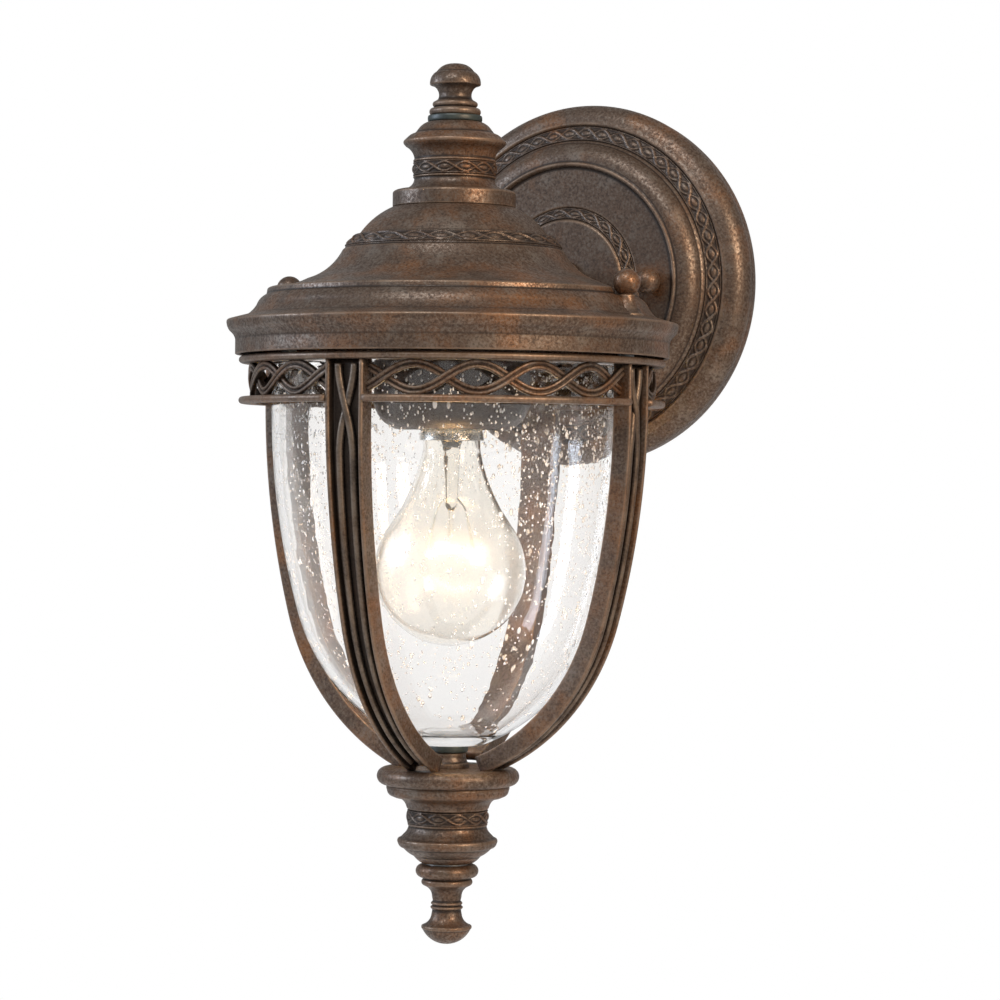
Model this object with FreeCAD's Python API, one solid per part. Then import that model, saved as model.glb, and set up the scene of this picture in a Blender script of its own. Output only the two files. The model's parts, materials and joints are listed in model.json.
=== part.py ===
"""Outdoor wall lantern: a bell-roofed cast lantern on a short arm from a round stepped wall plate.

Millimetres. The origin is the centre of the wall plate's back face, on the wall.
+X is to the right when facing the wall, +Y points into the wall, +Z is up.
Each physical piece is written as its own STEP file in parts/.
"""

import FreeCAD, Part

import math
import os

# ---------------------------------------------------------------- driving dimensions
BRIM_RADIUS = 89.5          # widest point of the roof
ROOF_TO_PLATE = 5.0         # roof's brim to the plate's face
WALL = 2.2                  # wall of the cast shells
FACE_GAP = 0.05             # between faces that bear on each other
RUN_GAP = 0.1               # radial, between a thread and what it screws into
HOLE_GAP = 0.35             # radial, between a rod or stud and a plain hole

# wall plate
PLATE_RADIUS = 76.4
PLATE_DEPTH = 29.5
PLATE_DISC_DROP = 3.1       # flat disc below the plate's middle face
PLATE_STUD_OFFSET = 40.3    # each side of the centre
STUD_PROUD = 6.0            # stud's end beyond the face that its nut bears on
GASKET_THICKNESS = 2.0
GASKET_WIDTH = 5.0

# wall strap
STRAP_LENGTH = 112.0
STRAP_WIDTH = 22.0
STRAP_THICKNESS = 2.5
STRAP_SLOT_SPACING = 60.0
STRAP_SLOT_LENGTH = 14.0
STRAP_SLOT_RADIUS = 2.4
GROUND_X, GROUND_Z = 14.0, -7.0     # earth screw, from the strap's middle
GROUND_RADIUS = 1.7
BLOCK_X, BLOCK_Z = -16.0, -9.0      # terminal block, from the strap's middle
BLOCK_SIZE = (17.0, 12.0, 10.0)     # width, height, depth
BLOCK_WIRE_DEPTH = 5.0              # wire holes above the block's foot

# arm
NIPPLE_RADIUS = 4.9
NIPPLE_BORE = 3.4
ARM_WALL = 2.2
ARM_COLLAR = 1.4            # rise of the arm's collars
ARM_PAD_FROM_AXIS = 40.0    # inner face of the pad inside the roof
ARM_PAD_RADIUS = 10.5
NUT_RIM = 2.1               # least metal round a nut's thread
NIPPLE_NUT = 3.6

# roof, above and below the arm's centre line
ROOF_TOP = 24.6
ROOF_SKIRT = -34.6          # lower edge of the skirt
BRIM_OVERHANG = 3.5         # brim beyond the skirt
BRIM_SLOPE = 15.7           # step ring in from the brim
DOME_FOOT = 43.4            # radius below the braid, where the hollow sweep starts

# crown, washer and finial above the roof
CROWN_HEIGHT = 33.7
CROWN_FLANGE_RADIUS = 24.4
WASHER_THICKNESS = 2.6
WASHER_RADIUS = 10.8
TOP_FINIAL_HEIGHT = 20.3
ROD_RADIUS = 3.0
FINIAL_THREAD = 9.0         # thread inside each finial

# cage
CAGE_GAP = 0.7              # roof skirt to the cage's upper ring
RING_SETBACK = 1.5          # ring in from the skirt
RING_WIDTH = 11.6
RING_THICKNESS = 2.8
GALLERY_HEIGHT = 18.8       # from the top of the upper ring to the foot of the lower one
FRET_SETBACK = 3.9          # fretwork in from the rings' edge
FRET_THICKNESS = 3.0
FRET_PITCH_DEG = 17.2       # crossing to crossing
FRET_EYES = 4               # whole eyes in each panel
STRAND_WIDTH = 3.2

RIB_WIDTH = 16.5
RIB_DEPTH = 7.4
RIB_TAPER = 1.9             # each side of a rib leans in by this much at the hub
RIB_SETBACK = 1.6           # ribs' outer face in from the rings' edge
RIB_SWEEP = 320.0           # radius of the long gentle sweep, which starts at the lower ring's foot
RIB_SWEEP_DROP = 85.0       # height of that sweep
RIB_FOOT_SWEEP = 90.7       # radius of the tighter sweep into the hub
RIB_FOOT_RADIUS = 21.8      # where the rib's outer face meets the hub
FLANGE = 2.0                # rib's side flanges
CHANNEL_DEPTH = 3.4
REED_WIDTH = 3.5
REED_HEIGHT = 2.7
REED_OFFSET = 3.0           # reed centre from the rib's middle

# cage studs and ball nuts
STUD_SETBACK = 12.8         # cage studs in from the brim
STUD_RADIUS = 1.95
STUD_SHOULDER = 1.25        # shoulder's width round the stud
BALL_RADIUS = 5.3
BALL_COLLAR_WALL = 0.95
BALL_COLLAR = 0.4
BALL_TO_ROOF = 0.5          # round the ball, in the seat cut for it
NUT_BORE = 6.3              # depth of a ball nut's thread
LOCKNUT = 3.0
BOSS_TOP = -11.2            # top of the roof's conical bosses
BOSS_WALL = 0.9             # metal round the stud's hole, at the boss's top
BOSS_SPREAD = 2.8           # boss's foot beyond its top
BOSS_HEIGHT = 7.5

# glass
GLASS_GAP = 4.1             # glass to ribs
GLASS_WALL = 3.0
GLASS_BASE = 6.0
GLASS_FOOT_RADIUS = 14.5
GLASS_RIM_DROP = 1.6        # rim below the top of the upper ring

# hub, cup and lower finial
HUB_RADIUS = 28.0
HUB_HEIGHT = 6.7
CUP_HEIGHT = 31.1
LOWER_WASHER = 0.5
LOWER_FINIAL_HEIGHT = 31.6
CUSHION_HEIGHT = 3.2
POST_RADIUS = 7.0
RIB_END_RADIUS = 18.5       # the ribs stop this far from the axis, clear of the post
CUSHION_RADIUS = 7.8

# lamp holder and lamp
CUP_TOP = -24.0             # top of the lamp holder's cup
CUP_LENGTH = 39.3
CUP_SWELL = 8.5             # cup's body beyond its mouth
CUP_TO_HOLDER = 2.5
CUP_WALL = 1.0
CUP_TO_HOLDER_TOP = 4.0
HOLDER_WALL = 4.0
HOLDER_LENGTH = 34.0
HOLDER_FLOOR = 8.0          # solid porcelain above the bore
CONTACT_GAP = 0.3           # lamp tip to the holder's contact
SLEEVE_WALL = 0.5
SLEEVE_TO_CAP = 1.35
LAMP_TO_HOLDER = 4.0        # lamp's top below the holder's floor
LAMP_LENGTH = 108.0
LAMP_RADIUS = 30.0
LAMP_CAP_RADIUS = 13.1
LAMP_CAP_LENGTH = 25.0
LAMP_GLASS_WALL = 0.8
STEM_LENGTH = 44.0
FILAMENT_RISE = 36.0        # filament above the lamp's tip
FILAMENT_SPREAD = 11.0
WIRE_RADIUS = 1.1
WIRE_OFFSET = 9.0           # wire holes from the axis, in the cup's top

# ---------------------------------------------------------------- derived sizes and places
WALL_TO_AXIS = BRIM_RADIUS + ROOF_TO_PLATE + PLATE_DEPTH
DISC_FACE = PLATE_DEPTH - PLATE_DISC_DROP
ARM_BORE = NIPPLE_RADIUS + HOLE_GAP + FACE_GAP
ARM_RADIUS = ARM_BORE + ARM_WALL
ARM_END = WALL_TO_AXIS - ARM_PAD_FROM_AXIS
ROOF_SKIRT_RADIUS = BRIM_RADIUS - BRIM_OVERHANG
STEP_RADIUS = BRIM_RADIUS - BRIM_SLOPE
STUD_OFFSET = BRIM_RADIUS - STUD_SETBACK
BOSS_TOP_RADIUS = STUD_RADIUS + HOLE_GAP + BOSS_WALL
RING_RADIUS = ROOF_SKIRT_RADIUS - RING_SETBACK
RING_INNER = RING_RADIUS - RING_WIDTH
FRET_RADIUS = RING_RADIUS - FRET_SETBACK
RIB_RADIUS = RING_RADIUS - RIB_SETBACK
RING_TOP = ROOF_SKIRT - CAGE_GAP
LOWER_RING_FOOT = RING_TOP - GALLERY_HEIGHT
FRET_TOP = RING_TOP - RING_THICKNESS
FRET_FOOT = LOWER_RING_FOOT + RING_THICKNESS
RIB_TOP = FRET_TOP - FACE_GAP
CROWN_SEAT = ROOF_TOP
WASHER_SEAT = CROWN_SEAT + CROWN_HEIGHT + FACE_GAP
FINIAL_SEAT = WASHER_SEAT + WASHER_THICKNESS + FACE_GAP
ARM_START = PLATE_DEPTH + FACE_GAP
HOLDER_BORE = LAMP_CAP_RADIUS + SLEEVE_TO_CAP + SLEEVE_WALL + FACE_GAP
HOLDER_RADIUS = HOLDER_BORE + HOLDER_WALL
CUP_MOUTH = HOLDER_RADIUS + CUP_TO_HOLDER + CUP_WALL
CUP_RADIUS = CUP_MOUTH + CUP_SWELL
HOLDER_TOP = CUP_TOP - CUP_WALL - CUP_TO_HOLDER_TOP
LAMP_TOP = HOLDER_TOP - HOLDER_FLOOR - LAMP_TO_HOLDER
LAMP_TIP = LAMP_TOP - LAMP_LENGTH
CAP_FOOT = LAMP_TOP - LAMP_CAP_LENGTH - 1.6
STEM_TOP = CAP_FOOT + 6.0
FILAMENT_HEIGHT = LAMP_TIP + FILAMENT_RISE


def vec(x, y, z):
    return FreeCAD.Vector(x, y, z)


ORIGIN = vec(0, 0, 0)
UP = vec(0, 0, 1)


# ---------------------------------------------------------------- shape helpers
def outline(start, *steps):
    """Closed wire in the XZ plane. A step (r, z) is straight, and a step (r, z, bulge) is an arc
    whose middle stands bulge to the left of the straight line, which is outwards on a piece
    that is drawn from its top down."""
    edges = []
    here = vec(start[0], 0, start[1])
    for step in steps:
        there = vec(step[0], 0, step[1])
        if len(step) == 3:
            along = there - here
            left = vec(-along.z, 0, along.x).normalize()
            middle = (here + there) * 0.5 + left * step[2]
            edges.append(Part.Arc(here, middle, there).toShape())
        else:
            edges.append(Part.LineSegment(here, there).toShape())
        here = there
    edges.append(Part.LineSegment(here, vec(start[0], 0, start[1])).toShape())
    return Part.Wire(edges)


def turned(start, *steps):
    """Solid of revolution about Z."""
    return Part.Face(outline(start, *steps)).revolve(ORIGIN, UP, 360)


def cylinder(radius, height, base=0.0, x=0.0, y=0.0):
    return Part.makeCylinder(radius, height, vec(x, y, base), UP)


def tube(outer, inner, height, base=0.0, x=0.0, y=0.0):
    return cylinder(outer, height, base, x, y).cut(cylinder(inner, height + 2, base - 1, x, y))


def hexagon(across_flats, height, base, hole):
    """Hex nut about Z, with a plain hole."""
    corner = across_flats / math.sqrt(3)
    points = [vec(corner * math.cos(math.radians(60 * k)), corner * math.sin(math.radians(60 * k)), base)
              for k in range(7)]
    return Part.Face(Part.makePolygon(points)).extrude(vec(0, 0, height)).cut(
        cylinder(hole, height + 2, base - 1))


def to_wall(shape, x=0.0, z=0.0):
    """Turns a shape drawn up Z from the wall so that it stands out from the wall at (x, z)."""
    shape = shape.copy()
    shape.rotate(ORIGIN, vec(1, 0, 0), 90)
    shape.translate(vec(x, 0, z))
    return shape


def moved(shape, x, y, z):
    shape = shape.copy()
    shape.translate(vec(x, y, z))
    return shape


def to_axis(shape):
    """Moves a shape drawn about Z to the lantern's upright axis."""
    return moved(shape, 0, -WALL_TO_AXIS, 0)


def raised(shape, z):
    return moved(shape, 0, 0, z)


def routed(points, radius):
    """Round tube along straight runs joined by tangent arcs, each as large as its runs allow."""
    points = [vec(*p) for p in points]
    edges, here, radii = [], points[0], []
    for before, corner, after in zip(points, points[1:], points[2:]):
        first, second = (corner - before).normalize(), (after - corner).normalize()
        turn = first.getAngle(second)
        run = min((corner - before).Length, (after - corner).Length)
        bend = 0.45 * run / math.tan(turn / 2)
        radii.append(round(bend, 1))
        reach = bend * math.tan(turn / 2)
        start, end = corner - first * reach, corner + second * reach
        inward = (second - first).normalize()
        middle = corner + inward * (bend / math.cos(turn / 2) - bend)
        edges.append(Part.LineSegment(here, start).toShape())
        edges.append(Part.Arc(start, middle, end).toShape())
        here = end
    edges.append(Part.LineSegment(here, points[-1]).toShape())
    path = Part.Wire(edges)
    ring = Part.Wire([Part.Circle(points[0], (points[1] - points[0]).normalize(), radius).toShape()])
    print("wire radii", radii, "length", round(path.Length, 1))
    return path.makePipeShell([ring], True, False)


# ---------------------------------------------------------------- wall plate and its fixings
def wall_plate():
    """Stepped round plate: outer bead, braid channel, ovolo, flat disc, inner braid channel, centre."""
    rim, face, disc = PLATE_RADIUS, PLATE_DEPTH, DISC_FACE
    border, ovolo = rim - 8.2, rim - 25.4
    outer = turned((0, face), (26.2, face), (27.0, face - 0.6), (28.0, face - 1.5), (31.6, disc - 0.2),
                   (32.8, disc + 0.2), (33.6, disc), (ovolo - 1.8, disc), (ovolo - 1.0, disc + 1.4),
                   (ovolo, disc + 1.4),
                   (border - 7.8, disc - 5.8, 1.9), (border - 7.0, disc - 6.8), (border - 1.0, disc - 9.6),
                   (border, disc - 8.8), (rim, 5.0, 3.2), (rim - 0.8, 0, 0.3), (0, 0))
    hollow = turned((0, face - WALL), (25.0, face - WALL), (30.0, disc - 2.4), (ovolo - 2.2, disc - 2.4),
                    (border - 9.6, disc - 8.8, 1.0), (border - 1.8, disc - 12.4), (rim - 2.8, 4.5, 2.2),
                    (rim - 3.2, -1), (0, -1))
    plate = outer.cut(hollow).cut(cylinder(NIPPLE_RADIUS + HOLE_GAP, 2 * PLATE_DEPTH))
    for side in (-1, 1):
        plate = plate.cut(cylinder(STUD_RADIUS + HOLE_GAP, 2 * PLATE_DEPTH, 0, side * PLATE_STUD_OFFSET))
    return to_wall(plate)


def wall_gasket():
    """Foam ring in the plate's back edge, between the rim and the wall."""
    outer = PLATE_RADIUS - 3.2 - FACE_GAP
    return to_wall(tube(outer, outer - GASKET_WIDTH, GASKET_THICKNESS))


def crossbar():
    """Steel strap with two slots for the wall box's screws and a tapped hole for each stud."""
    strap = Part.makeBox(STRAP_LENGTH, STRAP_WIDTH, STRAP_THICKNESS,
                         vec(-STRAP_LENGTH / 2, -STRAP_WIDTH / 2, 0))
    holes = [cylinder(STUD_RADIUS + RUN_GAP, 20, -5, side * PLATE_STUD_OFFSET) for side in (-1, 1)]
    straight = STRAP_SLOT_LENGTH - 2 * STRAP_SLOT_RADIUS
    for side in (-1, 1):
        middle = side * STRAP_SLOT_SPACING / 2
        holes.append(Part.makeBox(straight, 2 * STRAP_SLOT_RADIUS, 20,
                                  vec(middle - straight / 2, -STRAP_SLOT_RADIUS, -5)))
        holes += [cylinder(STRAP_SLOT_RADIUS, 20, -5, middle + end * straight / 2) for end in (-1, 1)]
    holes.append(cylinder(GROUND_RADIUS + RUN_GAP, 20, -5, GROUND_X, GROUND_Z))
    return to_wall(strap.cut(holes[0].multiFuse(holes[1:])))


def crossbar_studs():
    """Two studs from the strap, out through the plate, that the ball nuts screw onto."""
    return Part.makeCompound([to_wall(cylinder(STUD_RADIUS, DISC_FACE + STUD_PROUD), side * PLATE_STUD_OFFSET)
                              for side in (-1, 1)])


def stud_locknuts():
    nut = hexagon(2 * (STUD_RADIUS + 1.55), LOCKNUT, STRAP_THICKNESS + FACE_GAP, STUD_RADIUS + RUN_GAP)
    return Part.makeCompound([to_wall(nut, side * PLATE_STUD_OFFSET) for side in (-1, 1)])


def ground_screw():
    """Pan-headed screw with a slot, in the strap's tapped hole."""
    face, shank = STRAP_THICKNESS, GROUND_RADIUS
    head = turned((0, face + 2.6), (shank - 0.1, face + 2.4, 0.1), (2 * shank, face + 0.9, 0.4),
                  (2 * shank, face + FACE_GAP), (shank, face + FACE_GAP), (shank, 0), (0, 0))
    slot = Part.makeBox(8, 0.8, 2, vec(-4, -0.4, face + 1.6))
    return to_wall(head.cut(slot), GROUND_X, GROUND_Z)


def terminal_block():
    """Two-way block with a screw well over each way and a wire hole facing the arm."""
    width, height, depth = BLOCK_SIZE
    base = STRAP_THICKNESS + FACE_GAP
    block = Part.makeBox(width, height, depth, vec(BLOCK_X - width / 2, -height / 2 + BLOCK_Z, base))
    for side in (-1, 1):
        x = BLOCK_X + side * width / 4
        block = block.cut(cylinder(2.0, 4.0, base + depth - 3.0, x, BLOCK_Z - 2.0))
        mouth = vec(x, BLOCK_Z + height / 2 - 4.9, base + BLOCK_WIRE_DEPTH)
        hole = Part.makeCylinder(WIRE_RADIUS + HOLE_GAP, 5.0, mouth, vec(0, 1, 0))
        block = block.cut(hole)
    return to_wall(block)


def ball_nut():
    """Ball-headed nut about Z, its foot at 0."""
    collar = STUD_RADIUS + BALL_COLLAR_WALL
    centre = BALL_COLLAR + math.sqrt(BALL_RADIUS ** 2 - collar ** 2)
    ball = Part.makeSphere(BALL_RADIUS, vec(0, 0, centre))
    nut = ball.fuse(cylinder(collar, centre))
    return nut.cut(cylinder(STUD_RADIUS + RUN_GAP, NUT_BORE + 1, -1)).removeSplitter()


# ---------------------------------------------------------------- roof and arm
def roof_outer():
    """The roof's outside as a solid, from its top face to the skirt's lower edge."""
    step, brim, skirt = STEP_RADIUS, BRIM_RADIUS, ROOF_SKIRT_RADIUS
    sweep = DOME_FOOT + 0.52 * (step - 2.2 - DOME_FOOT)
    return turned((0, ROOF_TOP), (24.2, ROOF_TOP), (37.4, 13.6, 1.2), (DOME_FOOT - 4.5, 13.0),
                  (DOME_FOOT - 0.5, 8.6), (DOME_FOOT, 7.6), (sweep, -4.4, -1.9), (step - 2.2, -8.3, -0.7),
                  (step - 0.4, -8.6, 0.2), (step, -10.7), (step + 3.9, -15.0, 0.4), (brim - 8.1, -18.9, -0.3),
                  (brim - 0.9, -20.8), (brim, -21.9, 0.35), (brim - 1.3, -25.4, 0.3), (skirt, -28.6, -0.35),
                  (skirt, ROOF_SKIRT), (0, ROOF_SKIRT))


def roof_hollow():
    step, inside = STEP_RADIUS, ROOF_SKIRT_RADIUS - WALL
    sweep = DOME_FOOT + 0.48 * (step - 3.0 - DOME_FOOT)
    return turned((0, ROOF_TOP - WALL), (23.0, ROOF_TOP - WALL), (35.3, 12.2, 0.9), (DOME_FOOT - 2.4, 6.2),
                  (sweep, -6.6, -1.6), (step - 5.6, -10.6, -0.6), (step - 3.6, -13.2),
                  (BRIM_RADIUS - 9.9, -21.3), (inside, -23.6), (inside, ROOF_SKIRT - 1), (0, ROOF_SKIRT - 1))


def roof():
    """Cast bell roof with a conical boss in a round seat over each cage stud, and a pad inside for the arm."""
    outside, hollow = roof_outer(), roof_hollow()
    shell = outside.cut(hollow)
    for side in (-1, 1):
        shell = shell.cut(cylinder(BALL_RADIUS + BALL_TO_ROOF, 20, BOSS_TOP, side * STUD_OFFSET))
    pad = Part.makeCylinder(ARM_PAD_RADIUS, 40, vec(0, ARM_PAD_FROM_AXIS, 0), vec(0, 1, 0)).common(outside)
    shell = shell.fuse(pad)
    for side in (-1, 1):
        cone = Part.makeCone(BOSS_TOP_RADIUS + BOSS_SPREAD, BOSS_TOP_RADIUS, BOSS_HEIGHT,
                             vec(side * STUD_OFFSET, 0, BOSS_TOP - BOSS_HEIGHT), UP)
        shell = shell.fuse(cone.cut(hollow))
    seat, depth = (NIPPLE_RADIUS + NUT_RIM) * 2 / math.sqrt(3) + HOLE_GAP, 2 * NIPPLE_NUT
    cuts = [Part.makeCylinder(NIPPLE_RADIUS + HOLE_GAP, 60, vec(0, 20, 0), vec(0, 1, 0)),
            Part.makeCylinder(seat, depth, vec(0, ARM_PAD_FROM_AXIS - depth, 0), vec(0, 1, 0)),
            cylinder(ROD_RADIUS + HOLE_GAP, 60)]
    cuts += [cylinder(STUD_RADIUS + HOLE_GAP, 60, -50, side * STUD_OFFSET) for side in (-1, 1)]
    for cut in cuts:
        shell = shell.cut(cut)
    return to_axis(shell)


def arm_tube():
    """Short arm with a moulded collar at each end, its far end cut to the roof's curve."""
    collar, start, end = ARM_RADIUS + ARM_COLLAR, ARM_START, ARM_END
    arm = turned((0, end), (collar + 0.7, end), (collar + 0.7, end - 8.0), (ARM_RADIUS + 0.6, end - 11.4, -0.9),
                 (ARM_RADIUS, end - 14.0), (ARM_RADIUS, start + 5.6), (collar, start + 2.6, -0.6),
                 (collar, start + 0.4, 0.5), (collar - 0.4, start), (0, start))
    arm = arm.cut(cylinder(ARM_BORE, 2 * end))
    keep_off = to_axis(roof_outer())
    keep_off.translate(vec(0, 4 * FACE_GAP, 0))
    return to_wall(arm).cut(keep_off).cut(to_axis(roof_outer()))


def arm_nipple():
    """Hollow threaded rod through the plate, the arm and the roof's pad; the wires run in it."""
    start, end = PLATE_DEPTH - WALL - NIPPLE_NUT - 1.4, ARM_END + NIPPLE_NUT + 1.0
    return to_wall(tube(NIPPLE_RADIUS, NIPPLE_BORE, end - start, start))


def arm_locknuts():
    """One nut behind the plate and one inside the roof clamp the arm between them."""
    flats = 2 * (NIPPLE_RADIUS + NUT_RIM)
    behind = hexagon(flats, NIPPLE_NUT, PLATE_DEPTH - WALL - FACE_GAP - NIPPLE_NUT, NIPPLE_RADIUS + RUN_GAP)
    inside = hexagon(flats, NIPPLE_NUT, ARM_END + FACE_GAP, NIPPLE_RADIUS + RUN_GAP)
    return Part.makeCompound([to_wall(behind), to_wall(inside)])


# ---------------------------------------------------------------- crown and top finial
def crown():
    """Waisted casting on top of the roof, drawn from its foot up."""
    top = CROWN_HEIGHT
    body = turned((0, top), (10.8, top), (14.5, top - 2.8, 0.4), (15.8, top - 4.5), (18.9, top - 6.3, 0.3),
                  (20.3, top - 8.3, 0.4), (19.6, top - 9.5, 0.2), (16.0, 18.3, -0.8), (16.5, 17.8),
                  (16.5, 12.4), (16.1, 11.8),
                  (18.2, 7.8, -0.5), (21.6, 6.7, -0.4), (23.8, 6.2, 0.2), (CROWN_FLANGE_RADIUS, 5.2, 0.2),
                  (CROWN_FLANGE_RADIUS, 0), (0, 0))
    hollow = turned((0, top - 4.0), (9.5, top - 5.0), (13.0, top - 9.7), (13.0, 11.0), (17.0, 5.0),
                    (20.8, 2.0), (20.8, -1), (0, -1))
    return to_axis(raised(body.cut(hollow).cut(cylinder(ROD_RADIUS + HOLE_GAP, 60)), CROWN_SEAT + FACE_GAP))


def top_washer():
    ring = turned((0, WASHER_THICKNESS), (WASHER_RADIUS - 0.4, WASHER_THICKNESS), (WASHER_RADIUS, 2.1, 0.1),
                  (WASHER_RADIUS, 0.5), (WASHER_RADIUS - 0.4, 0, 0.1), (0, 0))
    return to_axis(raised(ring.cut(cylinder(ROD_RADIUS + HOLE_GAP, 20, -5)), WASHER_SEAT + FACE_GAP))


def top_finial():
    """Mushroom-headed knob on two beads."""
    top = TOP_FINIAL_HEIGHT
    knob = turned((0, top), (7.4, top - 2.9, 1.3), (10.1, top - 7.7, 0.8), (9.8, top - 8.4, 0.15),
                  (6.9, top - 10.5, -0.5),
                  (6.5, 7.6, -0.2), (7.9, 5.3, -0.4), (8.2, 3.0, 0.75), (9.3, 2.8), (9.5, 0, 0.8), (0, 0))
    return to_axis(raised(knob.cut(cylinder(ROD_RADIUS + RUN_GAP, FINIAL_THREAD + 1.2, -1)),
                          FINIAL_SEAT + FACE_GAP))


def centre_rod():
    """Threaded rod that ties the finial, crown, roof and lamp holder cup together."""
    top = FINIAL_SEAT + FINIAL_THREAD - 1.0
    foot = CUP_TOP - CUP_WALL - 3.4
    return to_axis(cylinder(ROD_RADIUS, top - foot, foot))


def centre_rod_nuts():
    """A nut under the roof's top, and one each side of the cup's top."""
    hole, flats = ROD_RADIUS + RUN_GAP, 2 * (ROD_RADIUS + 2.0)
    seats = (ROOF_TOP - WALL - FACE_GAP - 3.0, CUP_TOP + FACE_GAP, CUP_TOP - CUP_WALL - FACE_GAP - 2.4)
    heights = (3.0, 3.0, 2.4)
    return Part.makeCompound([to_axis(hexagon(flats, height, seat, hole))
                              for seat, height in zip(seats, heights)])


# ---------------------------------------------------------------- lamp holder, lamp and wires
def holder_cup():
    """Spun metal cup round the lamp holder, open below."""
    foot = CUP_TOP - CUP_LENGTH
    cup = turned((0, CUP_TOP), (CUP_RADIUS - 5.0, CUP_TOP), (CUP_RADIUS, CUP_TOP - 5.0, 1.46),
                 (CUP_RADIUS, foot + 9.6), (CUP_MOUTH, foot, 1.6), (0, foot))
    hollow = turned((0, CUP_TOP - CUP_WALL), (CUP_RADIUS - 5.4, CUP_TOP - CUP_WALL),
                    (CUP_RADIUS - CUP_WALL, CUP_TOP - 5.4, 1.3), (CUP_RADIUS - CUP_WALL, foot + 10.0),
                    (CUP_MOUTH - CUP_WALL, foot + 0.6, 1.5), (CUP_MOUTH - CUP_WALL, foot - 1), (0, foot - 1))
    cup = cup.cut(hollow).cut(cylinder(ROD_RADIUS + HOLE_GAP, 80, -60))
    for side in (-1, 1):
        cup = cup.cut(cylinder(WIRE_RADIUS + HOLE_GAP, 6, CUP_TOP - 3, side * WIRE_OFFSET))
    return to_axis(cup)


def holder_body():
    """Porcelain lamp holder with a flat top, a bore for the screw sleeve and two wire holes."""
    foot = HOLDER_TOP - HOLDER_LENGTH
    body = turned((0, HOLDER_TOP), (HOLDER_RADIUS - 3.0, HOLDER_TOP), (HOLDER_RADIUS, HOLDER_TOP - 3.0, 0.88),
                  (HOLDER_RADIUS, foot + 1.0), (HOLDER_RADIUS - 1.0, foot, 0.3), (0, foot))
    body = body.cut(cylinder(HOLDER_BORE, HOLDER_LENGTH - HOLDER_FLOOR + 1, foot - 1))
    for side in (-1, 1):
        body = body.cut(cylinder(WIRE_RADIUS + HOLE_GAP, 4.0, HOLDER_TOP - 3.0, side * WIRE_OFFSET))
    return to_axis(body.cut(cylinder(1.2, 20, HOLDER_TOP - 18)))


def holder_sleeve():
    """Brass screw sleeve in the porcelain."""
    foot = HOLDER_TOP - HOLDER_LENGTH + 2.0
    outer = HOLDER_BORE - FACE_GAP
    height = HOLDER_LENGTH - 12.0
    return to_axis(tube(outer, outer - SLEEVE_WALL, height, foot))


def holder_contact():
    """Centre contact that the lamp's tip meets."""
    seat = HOLDER_TOP - HOLDER_FLOOR - FACE_GAP
    tip = LAMP_TOP + CONTACT_GAP
    return to_axis(turned((0, seat), (6.0, seat), (6.0, seat - 0.8), (3.4, seat - 0.8), (3.0, tip + 0.4),
                          (1.6, tip), (0, tip)))


def lamp_cap():
    """Screw cap: five rolled threads over a plain skirt, open at its foot."""
    steps = [(LAMP_CAP_RADIUS - 1.0, LAMP_TOP - 4.0)]
    thread = 3.6
    for turn in range(5):
        crest = LAMP_TOP - 4.0 - thread * turn
        steps += [(LAMP_CAP_RADIUS - 1.0, crest - thread, 0.9)]
    cap = turned((0, LAMP_TOP - 1.8), (4.8, LAMP_TOP - 1.8), *steps, (LAMP_CAP_RADIUS - 0.3, CAP_FOOT),
                 (0, CAP_FOOT))
    hollow = turned((0, LAMP_TOP - 2.3), (4.4, LAMP_TOP - 2.3), (LAMP_CAP_RADIUS - 1.6, LAMP_TOP - 4.6),
                    (LAMP_CAP_RADIUS - 1.6, CAP_FOOT - 1), (0, CAP_FOOT - 1))
    return to_axis(cap.cut(hollow).cut(cylinder(4.0, 10, LAMP_TOP - 6)))


def lamp_insulator():
    """Black glass disc between the cap and the lamp's centre contact."""
    return to_axis(turned((0, LAMP_TOP - 0.9), (2.6, LAMP_TOP - 0.9), (3.95, LAMP_TOP - 1.7, 0.1),
                          (3.95, LAMP_TOP - 2.3 - FACE_GAP), (2.6, LAMP_TOP - 3.0), (0, LAMP_TOP - 3.0)))


def lamp_tip():
    return to_axis(turned((0, LAMP_TOP), (1.9, LAMP_TOP - 0.4, 0.1), (2.2, LAMP_TOP - 0.9 + FACE_GAP),
                          (0, LAMP_TOP - 0.9 + FACE_GAP)))


def lamp_shape(inset):
    """The pear-shaped bulb's outside, or the same shape inset by a wall."""
    neck = LAMP_CAP_RADIUS - 1.6 - FACE_GAP - inset
    ball = LAMP_RADIUS - inset
    middle = LAMP_TIP + LAMP_RADIUS
    lift = math.radians(38)
    shoulder = (ball * math.cos(lift), middle + ball * math.sin(lift))
    side = (ball, middle)
    sag = ball * (1 - math.cos(lift / 2))
    quarter = ball * (1 - math.cos(math.radians(45)))
    top = CAP_FOOT + 7.0 - inset
    return turned((0, top), (neck, top), (neck, CAP_FOOT - 4.0), (shoulder[0], shoulder[1], -1.6),
                  (side[0], side[1], sag), (0, LAMP_TIP + inset, quarter))


def lamp_glass():
    return to_axis(lamp_shape(0.0).cut(lamp_shape(LAMP_GLASS_WALL)))


def lamp_stem():
    """Pressed glass stem on the axis that carries the filament's wires."""
    return to_axis(turned((0, STEM_TOP), (9.6, STEM_TOP - 1.0, 0.4), (3.4, STEM_TOP - 12.0, -2.0),
                          (2.6, STEM_TOP - 30.0), (1.0, STEM_TOP - 34.0, 0.4), (1.0, STEM_TOP - STEM_LENGTH),
                          (0, STEM_TOP - STEM_LENGTH)))


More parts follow.
